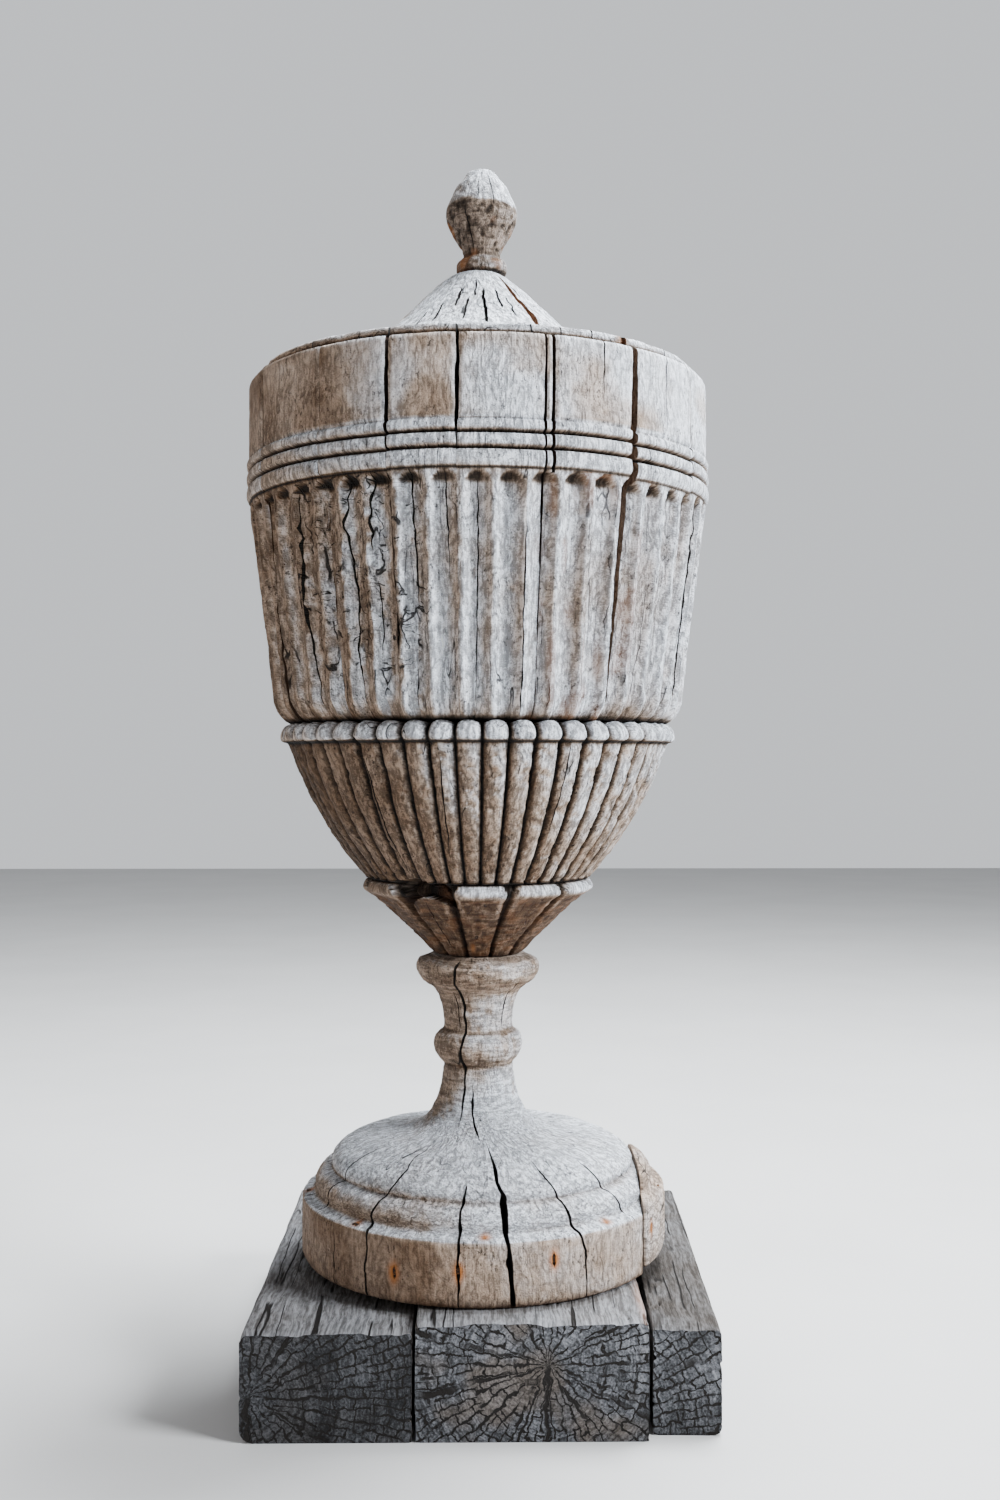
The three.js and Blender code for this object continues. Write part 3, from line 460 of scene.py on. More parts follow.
def aged_wood(name, silver, tan, brown, dark, rust, crisp=1.0):
    """Weathered carved wood: silver where bleached and where painted light falls, tan to brown elsewhere and in
    painted shade, near black in its cracks and in the deepest painted shade. The grain is a fine crinkle drawn
    out along the lay, and turns to close lines across the lay where the rings mark says so. Crisp is how strong
    pores and grain are."""
    g = Graph(name)
    lay = g.mark("lay", vector=True)
    hollow, bleach, checks, rings = (g.mark(name) for name in ("hollow", "bleach", "checks", "rings"))
    swirl = g.warp(lay, 24.0, 0.016)
    coarse = g.grainy(g.stretch(swirl, (1, 1, 0.38)), 330.0, 4.0, 0.72)
    fibre = g.grainy(g.stretch(g.warp(lay, 30.0, 0.006), (1, 1, 0.05)), 520.0, 3.0)
    large = g.folds(g.stretch(swirl, (1, 1, 0.5)), 120.0, 0.14)
    dust = g.grainy(lay, 800.0, 2.0)
    skin = g.total((coarse, 0.65), (fibre, 0.45), (large, 0.1), (dust, 0.3))
    level = g.warp(lay, 50.0, 0.006)
    turned = g.grainy(g.stretch(level, (0.14, 0.14, 1)), 330.0, 4.0, 0.7)
    turned = g.total((turned, 0.95), (large, 0.05), (dust, 0.5))
    grain = g.mix(rings, skin, turned)
    # Where nothing is checked the grain is drawn towards its mean, so that it is calm
    calm = g.times(g.remap(checks, 0.12, 0.02), 0.4)
    grain = g.mix(calm, grain, 0.79)
    cloud = g.grainy(lay, 15.0, 2.0)
    pores = g.remap(g.grainy(g.stretch(lay, (1, 1, 0.6)), 450.0, 3.0), 0.42, 0.36)
    pores = g.times(pores, g.remap(g.grainy(lay, 36.0, 2.0), 0.45, 0.6, 0.15, 1.0))
    # Paleness follows the bleach-and-light mark, which holds painted light and shade as well as bleaching, and
    # drops where the shade-and-dirt mark paints shade
    light = g.total((bleach, 1.0), (g.maths("SUBTRACT", grain, 0.55), 0.35), (cloud, 0.9), (hollow, -0.75))
    colour = g.blend(g.remap(light, 0.1, 1.0), four(brown), four(tan))
    colour = g.blend(g.remap(light, 0.7, 1.6), colour, four(silver))
    # Darker where the grain's height is low: grain tone, and painted shade that matches its bump
    colour = g.dim(colour, g.remap(grain, 0.66, 0.88, 1 - 0.55 * crisp, 1.2))
    # Painted shade, with some dirt, where the shade-and-dirt mark is high
    colour = g.dim(colour, g.remap(hollow, 0.1, 0.75, 1.0, 0.35))
    # Hairline checks along the lay, and a broken net of cracks where the wood is badly scarred
    along = g.stretch(g.warp(lay, 60.0, 0.004), (1, 1, 0.06))
    patch = g.grainy(lay, 34.0, 1.0)
    hair = g.times(g.lines(along, 95.0, 0.012, 0.0), g.remap(patch, 0.5, 0.56))
    hair = g.times(hair, g.remap(checks, 0.05, 0.35))
    torn = g.warp(lay, 80.0, 0.012)
    net = g.lines(g.stretch(torn, (0.8, 0.8, 0.6)), 58.0, 0.02, 1.0)
    rungs = g.lines(g.stretch(torn, (0.35, 0.35, 1.6)), 95.0, 0.02, 1.0)
    net = g.times(net, g.remap(g.grainy(lay, 44.0, 1.0), 0.53, 0.57))
    rungs = g.times(rungs, g.remap(g.grainy(lay, 90.0, 1.0), 0.55, 0.59))
    net = g.times(g.larger(net, rungs), g.remap(checks, 0.6, 0.9))
    crack = g.larger(hair, net)
    # Near black where that mark is highest: painted shade in deep grooves, joints and pockets
    black = g.larger(g.times(crack, 0.93), g.remap(hollow, 0.66, 0.97))
    black = g.larger(black, g.times(pores, 0.7 * crisp))
    colour = g.blend(black, colour, four(dark))
    stain = g.times(g.mark("rust"), g.remap(grain, 0.3, 0.6, 0.6, 1.0))
    colour = g.blend(stain, colour, four(rust))
    normal = g.bump(g.total((grain, 1.0), (large, 0.12), (pores, -0.15)), crisp, 0.0042)
    normal = g.bump(g.inverse(crack), 0.9, 0.002, normal)
    return g.finish(colour, normal, 0.9)


def sawn_wood(name, grey, brown, dark, rust):
    """Old sawn timber along its length: long fibres, furrows and hairline splits."""
    g = Graph(name)
    lay = g.mark("lay", vector=True)
    hollow, bleach = g.mark("hollow"), g.mark("bleach")
    moved = g.warp(lay, 22.0, 0.008)
    fibre = g.grainy(g.stretch(moved, (1, 1, 0.06)), 430.0, 5.0, 0.62)
    crinkle = g.grainy(g.stretch(moved, (1, 1, 0.3)), 380.0, 2.0)
    cloud = g.grainy(lay, 17.0, 3.0)
    grain = g.total((fibre, 0.6), (crinkle, 0.25))
    # Paler where the bleach-and-light mark paints the tops, painted light as well as weathering; darker in
    # painted shade
    light = g.remap(g.total((grain, 1.6), (cloud, 1.0), (bleach, 0.45), (hollow, -0.6)), 0.75, 1.8)
    colour = g.blend(light, four(brown), four(grey))
    # Darker where the grain's height is low: grain tone, and painted shade that matches its bump
    colour = g.dim(colour, g.remap(grain, 0.33, 0.52, 0.5, 1.15))
    colour = g.dim(colour, g.remap(hollow, 0.1, 0.45, 1.0, 0.55))
    split = g.lines(g.stretch(g.warp(lay, 14.0, 0.005), (1, 1, 0.02)), 80.0, 0.024, 0.0)
    split = g.times(split, g.remap(g.grainy(g.stretch(lay, (1, 1, 0.4)), 30.0, 1.0), 0.46, 0.52))
    # Near black in the splits and in the deepest painted shade
    black = g.larger(split, g.remap(hollow, 0.5, 0.95))
    colour = g.blend(black, colour, four(dark))
    colour = g.blend(g.mark("rust"), colour, four(rust))
    normal = g.bump(grain, 0.8, 0.0024)
    normal = g.bump(g.inverse(split), 0.9, 0.003, normal)
    return g.finish(colour, normal, 0.9)


def end_wood(name, grey, brown, dark):
    """The ends of old timber: drying cracks run out from the pith and cut it into blocks like bricks, over
    faint year rings. More cracks start further out. The lay of an end is its place about the pith."""
    g = Graph(name)
    bleach, hollow = g.mark("bleach"), g.mark("hollow")
    here = g.node("ShaderNodeTexCoord").outputs["Object"]
    lay = g.warp(g.warp(g.mark("lay", vector=True), 90.0, 0.009), 330.0, 0.003)
    axes = g.node("ShaderNodeSeparateXYZ", {0: lay}).outputs
    angle = g.maths("ARCTAN2", axes[1], axes[0])
    flat = g.place(axes[0], axes[1])
    away = g.node("ShaderNodeVectorMath", {0: flat}, operation="LENGTH").outputs["Value"]
    zone = g.total((away, 1.0), (g.grainy(here, 45.0, 2.0), 0.03))
    widen = g.grainy(here, 70.0, 2.0)
    crack = g.spokes(away, angle, 18, 0.012, 0.045, 0.0015)
    zones = ((34, 0.035, 0.024, 0.037), (62, 0.068, 0.014, 0.066), (96, 0.11, 0.011, 0.11))
    for count, radius, length, start in zones:
        more = g.spokes(away, angle, count, radius, length, 0.0017)
        crack = g.mix(g.remap(zone, start, start + 0.003), crack, more)
    crack = g.times(crack, g.remap(widen, 0.34, 0.46, 0.4, 1.0))
    main = g.spokes(away, angle, 13, 0.05, 3.0, 0.003)
    main = g.times(main, g.remap(g.grainy(here, 20.0, 1.0), 0.44, 0.56))
    main = g.times(main, g.remap(away, 0.0, 0.02))
    crack = g.larger(crack, main)
    # One wide crack from the pith down
    fall = g.remap(g.maths("ABSOLUTE", axes[0]), 0.0022, 0.001)
    crack = g.larger(crack, g.times(fall, g.remap(axes[1], 0.004, -0.004)))
    fuzz = g.grainy(here, 560.0, 4.0, 0.66)
    rings = g.place(away, g.times(angle, 0.004))
    ring = g.total((g.grainy(rings, 420.0, 2.0), 0.5), (fuzz, 0.6))
    patch = g.grainy(here, 24.0, 3.0)
    light = g.remap(g.total((ring, 1.0), (patch, 1.1)), 0.8, 1.5)
    colour = g.blend(light, four(grey, 0.35), four(grey, 2.1))
    # On the ends the bleach-and-light mark holds how warm the patches are
    warm = g.times(g.remap(g.grainy(here, 16.0, 2.0), 0.48, 0.62), bleach)
    colour = g.blend(g.times(warm, 0.75), colour, four(brown, 1.1))
    colour = g.dim(colour, g.remap(ring, 0.42, 0.68, 0.5, 1.3))
    # On the ends the shade-and-dirt mark holds how much darker each end is
    colour = g.dim(colour, g.inverse(hollow))
    colour = g.blend(crack, colour, four(dark))
    normal = g.bump(ring, 0.8, 0.003)
    normal = g.bump(g.inverse(crack), 1.0, 0.003, normal)
    return g.finish(colour, normal, 0.8)


# Settings

class UrnSizes(bpy.types.PropertyGroup):
    flute_depth: bpy.props.FloatProperty(
        name="Flute depth", description="How deep the drum's flutes are cut", default=8 * MM, unit="LENGTH")
    reed_depth: bpy.props.FloatProperty(
        name="Reed depth", description="How far the bowl's reeds stand out of their valleys", default=6 * MM,
        unit="LENGTH")
    groove_depth: bpy.props.FloatProperty(
        name="Moulding groove depth", description="Depth of the dark lines between the mouldings",
        default=5.2 * MM, unit="LENGTH")
    split_depth: bpy.props.FloatProperty(
        name="Foot split depth", description="Depth of the long split in the foot", default=18 * MM,
        unit="LENGTH")
    wear: bpy.props.FloatProperty(
        name="Wear", description="Strength of the weathered relief", default=1, min=0, subtype="FACTOR")


def colour_property(name, description, value):
    """A setting for one colour."""
    return bpy.props.FloatVectorProperty(
        name=name, description=description, default=value, size=3, subtype="COLOR", min=0.0, max=1.0)


class UrnColours(bpy.types.PropertyGroup):
    # Silver, tan and brown are the steps of the ramp the bleach-and-light mark drives: silver is also painted
    # light on faces towards the key light, brown also painted shade in hollows and on the far side
    silver: colour_property("Silver wood", "Bleached wood of the urn", (0.815, 0.85, 0.915))
    tan: colour_property("Tan wood", "Wood half bleached", (0.46, 0.35, 0.27))
    brown: colour_property("Brown wood", "Wood in the hollows, out of the sun", (0.19, 0.112, 0.066))
    dark: colour_property("Crack", "Inside of cracks", (0.01, 0.008, 0.007))
    knob_brown: colour_property("Finial underside", "Dark wood under the finial's cap", (0.18, 0.127, 0.092))
    timber: colour_property("Plinth timber", "Grey timber of the plinth", (0.255, 0.26, 0.275))
    timber_brown: colour_property("Plinth brown", "Warmer tint in the timbers", (0.11, 0.09, 0.075))
    end: colour_property("Timber ends", "Charcoal grey of the sawn ends", (0.1, 0.103, 0.113))
    rust: colour_property("Rust", "Stain round the nails", (0.42, 0.15, 0.04))
    floor: colour_property("Floor", "Plain pale floor", (0.66, 0.655, 0.65))


_made = {}


def finishes():
    """The materials, made once from the colours. The finial's half-bleached wood is darker than the urn's, and
    the slip's silver is paler."""
    if not _made:
        c = bpy.context.scene.urn_colours
        dull = [share * 0.72 for share in c.tan]
        pale = [share * 1.1 for share in c.silver]
        _made["urn"] = aged_wood("urn_wood", c.silver, c.tan, c.brown, c.dark, c.rust)
        _made["finial"] = aged_wood("finial_wood", c.silver, dull, c.knob_brown, c.dark, c.rust, 1.05)
        _made["slip"] = aged_wood("slip_wood", pale, c.tan, c.brown, c.dark, c.rust, 0.8)
        _made["plinth"] = sawn_wood("plinth_wood", c.timber, c.timber_brown, c.dark, c.rust)
        _made["end"] = end_wood("plinth_end_wood", c.end, c.timber_brown, c.dark)
    return _made


# Drum

def joint_angles():
    """Angle of every stave joint in degrees: the six seen at the front, the rest evenly spaced."""
    rest = STAVES - (len(JOINTS) - 1)
    step = (360 - (JOINTS[-1] - JOINTS[0])) / rest
    return JOINTS + [JOINTS[-1] + i * step for i in range(1, rest)]


def drum_rows(low, high):
    """Heights of the rows: close together at the mouldings, the flute heads and the foot of the drum."""
    zs = np.array([DRUM_FOOT, 577 * MM, 722 * MM, FLUTES_TOP, BAND_FOOT, 836 * MM, DRUM_TOP])
    steps = [2.0, 2.6, 1.3, 0.9, 2.6, 0.9]
    parts = [np.arange(a, b, s * MM) for a, b, s in zip(zs[:-1], zs[1:], steps)]
    z = np.concatenate(parts + [[zs[-1]]])
    z = np.clip(z, low, high)
    return np.unique(np.round(z, 7))


def scarred(angle, z):
    """Where the flutes are badly scarred: left of the middle, most of all halfway up."""
    degrees = np.degrees(angle) + 5 * noise(np.stack([angle * 0.19, z, 0 * z], -1), [40 * MM] * 3, 4)
    side = smooth(-56, -42, degrees) * (1 - smooth(-17, -6, degrees))
    return side * smooth(558 * MM, 610 * MM, z) * (1 - smooth(734 * MM, 739 * MM, z))


def drum_surface(angle, z, sizes, drop, seed):
    """Outer radius and marks of the drum. Radius = turned profile + mouldings - flutes. A flute is an ellipse
    in plan, depth * sqrt(1 - (u / half)^2), ends in a half-round head under the mouldings and dies
    into the foot.
    The mouldings are three fillets 1 - |2w - 1|^3 between two deep grooves, lower by the stave's drop."""
    foot, shoulder = DRUM_FOOT, DRUM_FOOT + 26 * MM
    mould_low = 739.3 * MM - drop
    t = np.clip((shoulder - z) / (shoulder - foot), 0, 1)
    flare = (z - shoulder) / (mould_low - shoulder)
    body = np.where(z > shoulder, 179.5 + 20.2 * flare, 179.5 - 13 * t * t * (0.55 + 0.45 * t)) * MM
    body = body - 1.6 * MM * bell(z - foot, 1.6 * MM)
    scar = scarred(angle, z)
    # Flutes
    here = np.stack([angle * 190 * MM, z, 0 * z + seed], -1)
    wander = noise(here, [60 * MM, 50 * MM, 1], 3) * 0.03
    torn = noise(here, [9 * MM, 13 * MM, 1], 5) * 0.05 + noise(here, [5 * MM, 6 * MM, 1], 6) * 0.035
    wander = wander + scar * torn
    u = angle / PITCH + wander
    u = u - np.round(u)
    half = 0.4
    inside = np.clip(1 - (u / half) ** 2, 0, 1)
    head = mould_low - 2.6 * MM
    top_edge = head - 11 * MM * (1 - np.sqrt(inside))
    ends = np.clip((top_edge - z) / (2.4 * MM), 0, 1) ** 0.6
    flute = np.sqrt(inside) ** 1.25 * ends
    head_bowl = 1.4 * MM * bell(z - (head - 8 * MM), 7 * MM) * inside * ends
    ridge = 1 - smooth(0.32, 0.5, np.abs(u))
    fluted = body - sizes.flute_depth * flute - head_bowl - 0.5 * MM * ridge * (z < head)
    # Mouldings
    cuts = np.array([775.2, 765.4, 753.2, 739.0]) * MM - drop
    fillet = np.zeros_like(z)
    for high, low in zip(cuts[:-1], cuts[1:]):
        w = np.clip((z - low) / (high - low), 0, 1)
        fillet = np.maximum(fillet, np.where((z >= low) & (z <= high), 1 - np.abs(2 * w - 1) ** 3, 0))
    grooves = bell(z - cuts[1], 1.25 * MM) + bell(z - cuts[2], 1.25 * MM)
    above = bell(z - cuts[0], 1.1 * MM)
    moulded = 199.2 * MM + 2.5 * MM * fillet - sizes.groove_depth * grooves - 1.2 * MM * above
    band = 199.7 * MM - np.clip((z - 835.5 * MM) / (4.8 * MM), 0, 1) ** 2.4 * 1.8 * MM
    radius = np.where(z > cuts[0], band - 1.2 * MM * above, moulded)
    radius = np.where(z < cuts[3], fluted - 1.6 * MM * bell(z - cuts[3], 1.6 * MM), radius)
    # Painted shadow in dark lines under the mouldings, and painted shade in each flute's head, deepest on its
    # left
    under = bell(z - (cuts[3] - 0.9 * MM), 1.5 * MM) * (z < cuts[3] + 0.6 * MM)
    head_dark = smooth(0, 1.4 * MM, top_edge - z) * smooth(0.02, 0.25, inside)
    head_dark = head_dark * smooth(head - 10 * MM, head - 5.5 * MM, z)
    head_dark = head_dark * (1 - 0.45 * smooth(0.0, 0.3, u))
    # Painted shade in the moulding grooves, over the top moulding, in the flutes and low on the drum; a little
    # darker where scarred
    hollow = 0.04 * flute + 0.95 * np.clip(grooves, 0, 1) + 0.25 * above + 0.9 * under + 0.8 * head_dark
    hollow += 0.8 * bell(z - foot, 2.4 * MM) + 0.08 * scar + 0.2 * (1 - smooth(foot, foot + 16 * MM, z))
    return radius, np.clip(hollow, 0, 1), flute, scar


def drum_cracks(low, high):
    """Thin checks in the band and long ones down the flutes, kept to those between two angles: those seen, each
    (angle, path, width, depth), and plainer ones behind."""
    seen = [
        (29.1, [], [(800, 0), (812, 1.0), (836, 1.3), (840.3, 1.3)], 6),
        (49.2, [], [(778, 0), (800, 1.0), (832, 1.2), (840.3, 0.8)], 6),
        (-47.5, [(549, 1), (640, -0.7), (735, 0)],
         [(560, 0), (590, 1.0), (640, 1.2), (700, 1.0), (730, 0)], 6),
        (-31.4, [(549, 1), (610, -0.5), (650, 0.8), (700, -0.6), (735, 0.6)],
         [(560, 0), (590, 0.8), (640, 1.2), (700, 1.1), (736, 0.8), (739, 0)], 7),
        (-24.8, [(549, -1), (620, 0.8), (660, -0.8), (735, 0)],
         [(600, 0), (612, 0.9), (650, 0.8), (655, 0), (680, 0), (690, 1.0), (733, 1.2), (738, 0)], 7),
        (-15.2, [(549, -0.6), (640, 0.5), (735, 0)],
         [(560, 0), (575, 1.1), (590, 0), (640, 0), (660, 1.4), (735, 1.3), (738, 0)], 7),
        (-7.6, [(549, 0.4), (660, 0.6), (735, 0)], [(650, 0), (690, 1.0), (730, 1.0), (736, 0)], 5),
        (0.1, [(549, -0.6), (660, 0.2), (735, 0)], [(560, 0), (600, 0.9), (720, 1.1), (730, 0)], 5),
        (10.9, [], [(551, 0), (560, 1.0), (680, 1.2), (700, 0)], 6),
        (-52.0, [], [(600, 0), (640, 1.3), (700, 1.0), (725, 0)], 5),
        (27.0, [(549, 1), (640, 0)], [(560, 0), (580, 0.9), (610, 0), (660, 0), (668, 0.9), (690, 0)], 5),
    ]
    for k, at in enumerate(range(70, 300, 19)):
        lift = 30 * (k % 3)
        width = [(570 + lift, 0), (600 + lift, 1.2), (700, 1.0), (730, 0)]
        seen.append((at - 360 if at > 297 else at, [], width, 5))
    return [c for c in seen if low + 1.5 < c[0] < high - 1.5]


def stave_edge(z, k, at, sign):
    """Angle of a stave's edge down its height: the joint's line, half its opening away, with a ragged
    wander."""
    foot, neck, band = JOINT_OPENING[k] if k < len(JOINT_OPENING) else HIDDEN_OPENING
    opening = np.interp(z, np.array([549, 735, 745, 775, 840]) * MM, [foot, neck, neck, band, band])
    line = np.stack([z, 0 * z + k * 31.0, 0 * z + sign * 7.0], -1)
    rough = noise(line, [14 * MM, 1, 1], 11) * 0.5 + noise(line, [4 * MM, 1, 1], 12) * 0.35
    rough *= 1.4 if k == WIDE_JOINT else 0.6
    both = np.stack([z, 0 * z + k * 31.0, 0 * z], -1)
    lean = noise(both, [45 * MM, 1, 1], 13) * 0.16 + noise(both, [9 * MM, 1, 1], 14) * 0.07
    if k == WIDE_JOINT:
        lean = lean - 1.9 * (DRUM_TOP - z) / (DRUM_TOP - DRUM_FOOT)
    half = np.maximum(opening / 2 + sign * rough * 0.5, 0.16) * MM / (195 * MM)
    return np.radians(at + lean) + sign * half


def stave_grid(n, sizes, joints, slip=False):
    """One stave as a ring of points for each height: its outer face, then its inner face back again. Only the
    columns near its edges follow the ragged joints, by (1 - share / reach)^2; the carving keeps its place
    between them. The slip is the strip cut from the left edge of its stave, from the mouldings up."""
    following = (n + 1) % STAVES
    joint_next = joints[following] + (360 if n + 1 >= STAVES else 0)
    drop = (1.6 if n == WIDE_JOINT else [0, 0.4, -0.3, 0.2, -0.4, 0.5][n % 6]) * MM
    z = drum_rows(735.9 * MM if slip else DRUM_FOOT, DRUM_TOP)
    notched = n == SLIP_STAVE and not slip
    if notched:
        z = np.unique(np.concatenate([z, [735.2 * MM, 735.5 * MM]]))
    start, end = stave_edge(z, n, joints[n], 1), stave_edge(z, following, joint_next, -1)
    if notched:
        start = start + np.where(z > 735.4 * MM, math.radians(SLIP_ANGLE), 0)
    if slip:
        end = stave_edge(z, n, joints[n], -1) + math.radians(SLIP_ANGLE + 0.1)
    span = np.degrees(end.mean() - start.mean())
    count = max(6, int(span / 360 * TAU * 200 / 1.7))
    share = np.linspace(0, 1, count)
    even = np.radians(joints[n]) + share * np.radians(joint_next - joints[n])
    cracks = [] if slip else drum_cracks(joints[n], joint_next)
    angles, depth, _, own = crack_grid(even, z / MM, np.ones(len(z)), 0 * z + 190 * MM, cracks)
    share = (angles - angles[:, :1]) / (angles[:, -1:] - angles[:, :1])
    reach = 0.2
    pull = (start - np.radians(joints[n]))[:, None] * np.clip(1 - share / reach, 0, 1) ** 2
    pull = pull + (end - np.radians(joint_next))[:, None] * np.clip(1 - (1 - share) / reach, 0, 1) ** 2
    angles = start[:, None] + share * (end - start)[:, None] if slip else angles + pull
    height = spread(z, angles.shape[1])
    radius, hollow, flute, scar = drum_surface(angles, height, sizes, drop, n)
    away = np.minimum(angles - angles[:, :1], angles[:, -1:] - angles) * 200
    radius = radius - 0.9 * MM * bell(away, 1.5) - (1.2 * MM if slip else 0)
    lay = np.stack([200 * MM * np.sin(angles), -200 * MM * np.cos(angles), height + n * 0.37], -1)
    p = polar(radius, angles, height)
    relief = weathering(p, 40 + n) * sizes.wear
    torn = 0.1 + 0.9 * np.abs(noise(p, [10 * MM, 10 * MM, 15 * MM], 77))
    torn = torn + 0.9 * np.abs(noise(p, [5 * MM] * 3, 78))
    relief = relief - scar * torn * MM
    dents = smooth(0.5, 0.7, noise(p, [7 * MM, 7 * MM, 12 * MM], 79)) * 1.1 * MM
    relief = relief - dents * (height < FLUTES_TOP)
    most = np.where(height > FLUTES_TOP, 0.15, 0.9) * MM
    radius = radius + np.clip(relief, -4.2 * MM, most) * np.clip(away, 0.2, 1) - depth
    p = polar(radius, angles, height)
    bleach = lit_and_bleached(p, own, np.clip(relief, -1 * MM, 1 * MM), wrap=False)
    # The plain band, the mouldings and the fluted wall below them are painted in their own ways: painted shade
    # on the flutes left of the front, paler mouldings, and a band with dirt smudges and painted shade towards
    # the left
    flat = height > BAND_FOOT
    fluted = height < MOULDINGS_FOOT
    moulded = (height > MOULDINGS_FOOT) * ~flat
    # Degrees right of the front, from -180 to 180; what differs from side to side is painted light and shade
    # from the key light on the right, and fades out towards the back
    degrees = (np.degrees(angles) + 180) % 360 - 180
    fade = 1 - smooth(110, 175, np.abs(degrees))
    # Painted shade on the flutes left of the front, lighter in their grooves
    shaded = smooth(-16, -46, degrees) * fade * fluted
    # On the front and right the flutes' paleness is drawn towards 0.64, which softens their painted light
    levelled = 0.4 * fluted * smooth(-30, -5, degrees) * fade
    bleach = bleach + (0.34 * flute - 0.5) * shaded + 0.1 * fluted + levelled * (0.64 - bleach)
    bleach = np.clip(bleach + flat * (0.24 - 0.26 * bleach) + 0.36 * moulded, 0, 1)
    # Dirt smudges darken the band, and painted shade darkens it towards the left
    smudge = flat * smooth(0.0, 0.6, noise(p, [42 * MM, 42 * MM, 34 * MM], 83))
    bleach = np.clip(bleach - 0.4 * smudge - 0.2 * flat * smooth(-2, -30, degrees) * fade, 0, 1)
    beside_joint = flat * bell(away, 7) * smooth(-0.2, 0.5, noise(p, [16 * MM] * 3, 84))
    hollow = hollow + 0.12 * smudge + 0.22 * beside_joint
    checks = np.clip(0.22 + 0.25 * noise(p, [45 * MM] * 3, 21) - 0.2 * flat + scar, 0, 1)
    # Painted shade on the far left, and in the flutes' grooves on the right
    hollow = hollow + (0.14 * smooth(-46, -68, degrees) + 0.3 * flute * smooth(26, 48, degrees)) * fade
    hollow = np.clip(hollow + lipped(depth) / (1.4 * MM), 0, 1)
    warm = smooth(8, 18, degrees) * (1 - smooth(40, 48, degrees))
    warm = warm * smooth(0.15, 0.6, noise(p, [9 * MM, 9 * MM, 40 * MM], 85))
    warm = 0.22 * warm * (height < FLUTES_TOP)
    # The joint walls start just inside the edges, so that painted shade darkens them from there inwards. The
    # widest joint lets light in and is painted paler.
    walls = np.array([0, 0, 0.25, 0.5, 0.75, 1, 1])
    inner = len(walls)
    inner_radius = np.interp(z, [DRUM_FOOT, DRUM_TOP], [132 * MM, 159.7 * MM])
    if slip:
        inner_radius = 0 * z + 176 * MM
    inner_angles = end[:, None] + (start - end)[:, None] * walls[None]
    inner_radius = spread(inner_radius, inner)
    inner_radius[:, 0] = np.minimum(radius[:, -1], radius[:, -2]) - 0.8 * MM
    inner_radius[:, -1] = np.minimum(radius[:, 0], radius[:, 1]) - 0.8 * MM
    points = polar(inner_radius, inner_angles, spread(z, inner))
    points = np.concatenate([p, points], 1)
    inner_lay = np.stack([points[:, -inner:, 0], points[:, -inner:, 1], points[:, -inner:, 2] + n * 0.37], -1)
    full_lay = np.concatenate([lay, inner_lay], 1)
    wide = np.where(np.arange(inner) < 3, following == WIDE_JOINT, n == WIDE_JOINT)
    dark = np.repeat(np.where(wide, 0.3, 0.9)[None], len(z), 0)

    def extend(values, fill):
        return np.concatenate([values, np.zeros((len(z), inner)) + fill], 1)

    marks = {"hollow": extend(hollow, dark), "bleach": extend(bleach, 0.2 * (dark < 0.5)),
             "checks": extend(checks, 0.0), "rust": extend(warm, 0.05),
             "rings": extend(0.15 + 0 * hollow, 0.0)}
    return points, full_lay, marks


def make_stave(name, n, sizes, joints, material, node, slip=False):
    """A stave's rings joined up, with a flat cap at its foot and at its top."""
    p, lay, marks = stave_grid(n, sizes, joints, slip)
    rows, columns = p.shape[:2]
    caps = [list(range(columns))[::-1], list(range((rows - 1) * columns, rows * columns))]
    full = {"lay": lay.reshape(-1, 3)}
    full.update({k: v.ravel() for k, v in marks.items()})
    faces = [wrapped_faces(rows, columns)] + caps
    add_piece(name, p.reshape(-1, 3), faces, full, material, [node])


# Bowl

# Radius and height in millimetres: the leaves, the reeds, then the beads
BOWL_OUTSIDE = [
    (37, 348.9), (39.5, 350), (43, 353.5), (49, 360), (57.5, 367.5), (66, 375), (75, 383.5), (84, 392),
    (92.5, 399), (98.4, 403.2), (101.8, 405), (102.9, 408), (101.9, 411.4), (99.6, 414),
    (98.6, 415.4), (100.4, 418), (103.8, 421.4), (110, 429), (118.7, 440), (127.4, 452), (135.3, 464.5),
    (142.2, 476), (148.5, 488), (153.5, 499), (158, 510), (161.5, 519), (164.6, 527), (166.2, 532),
    (171.8, 533.4), (173.1, 535.2), (173.1, 538), (172.1, 542.2), (169.6, 546.4), (164, 548.7)]
BOWL_HOLLOW = [(164, 548.7), (133, 548.7), (126, 523), (106, 489), (70, 454), (2, 433)]


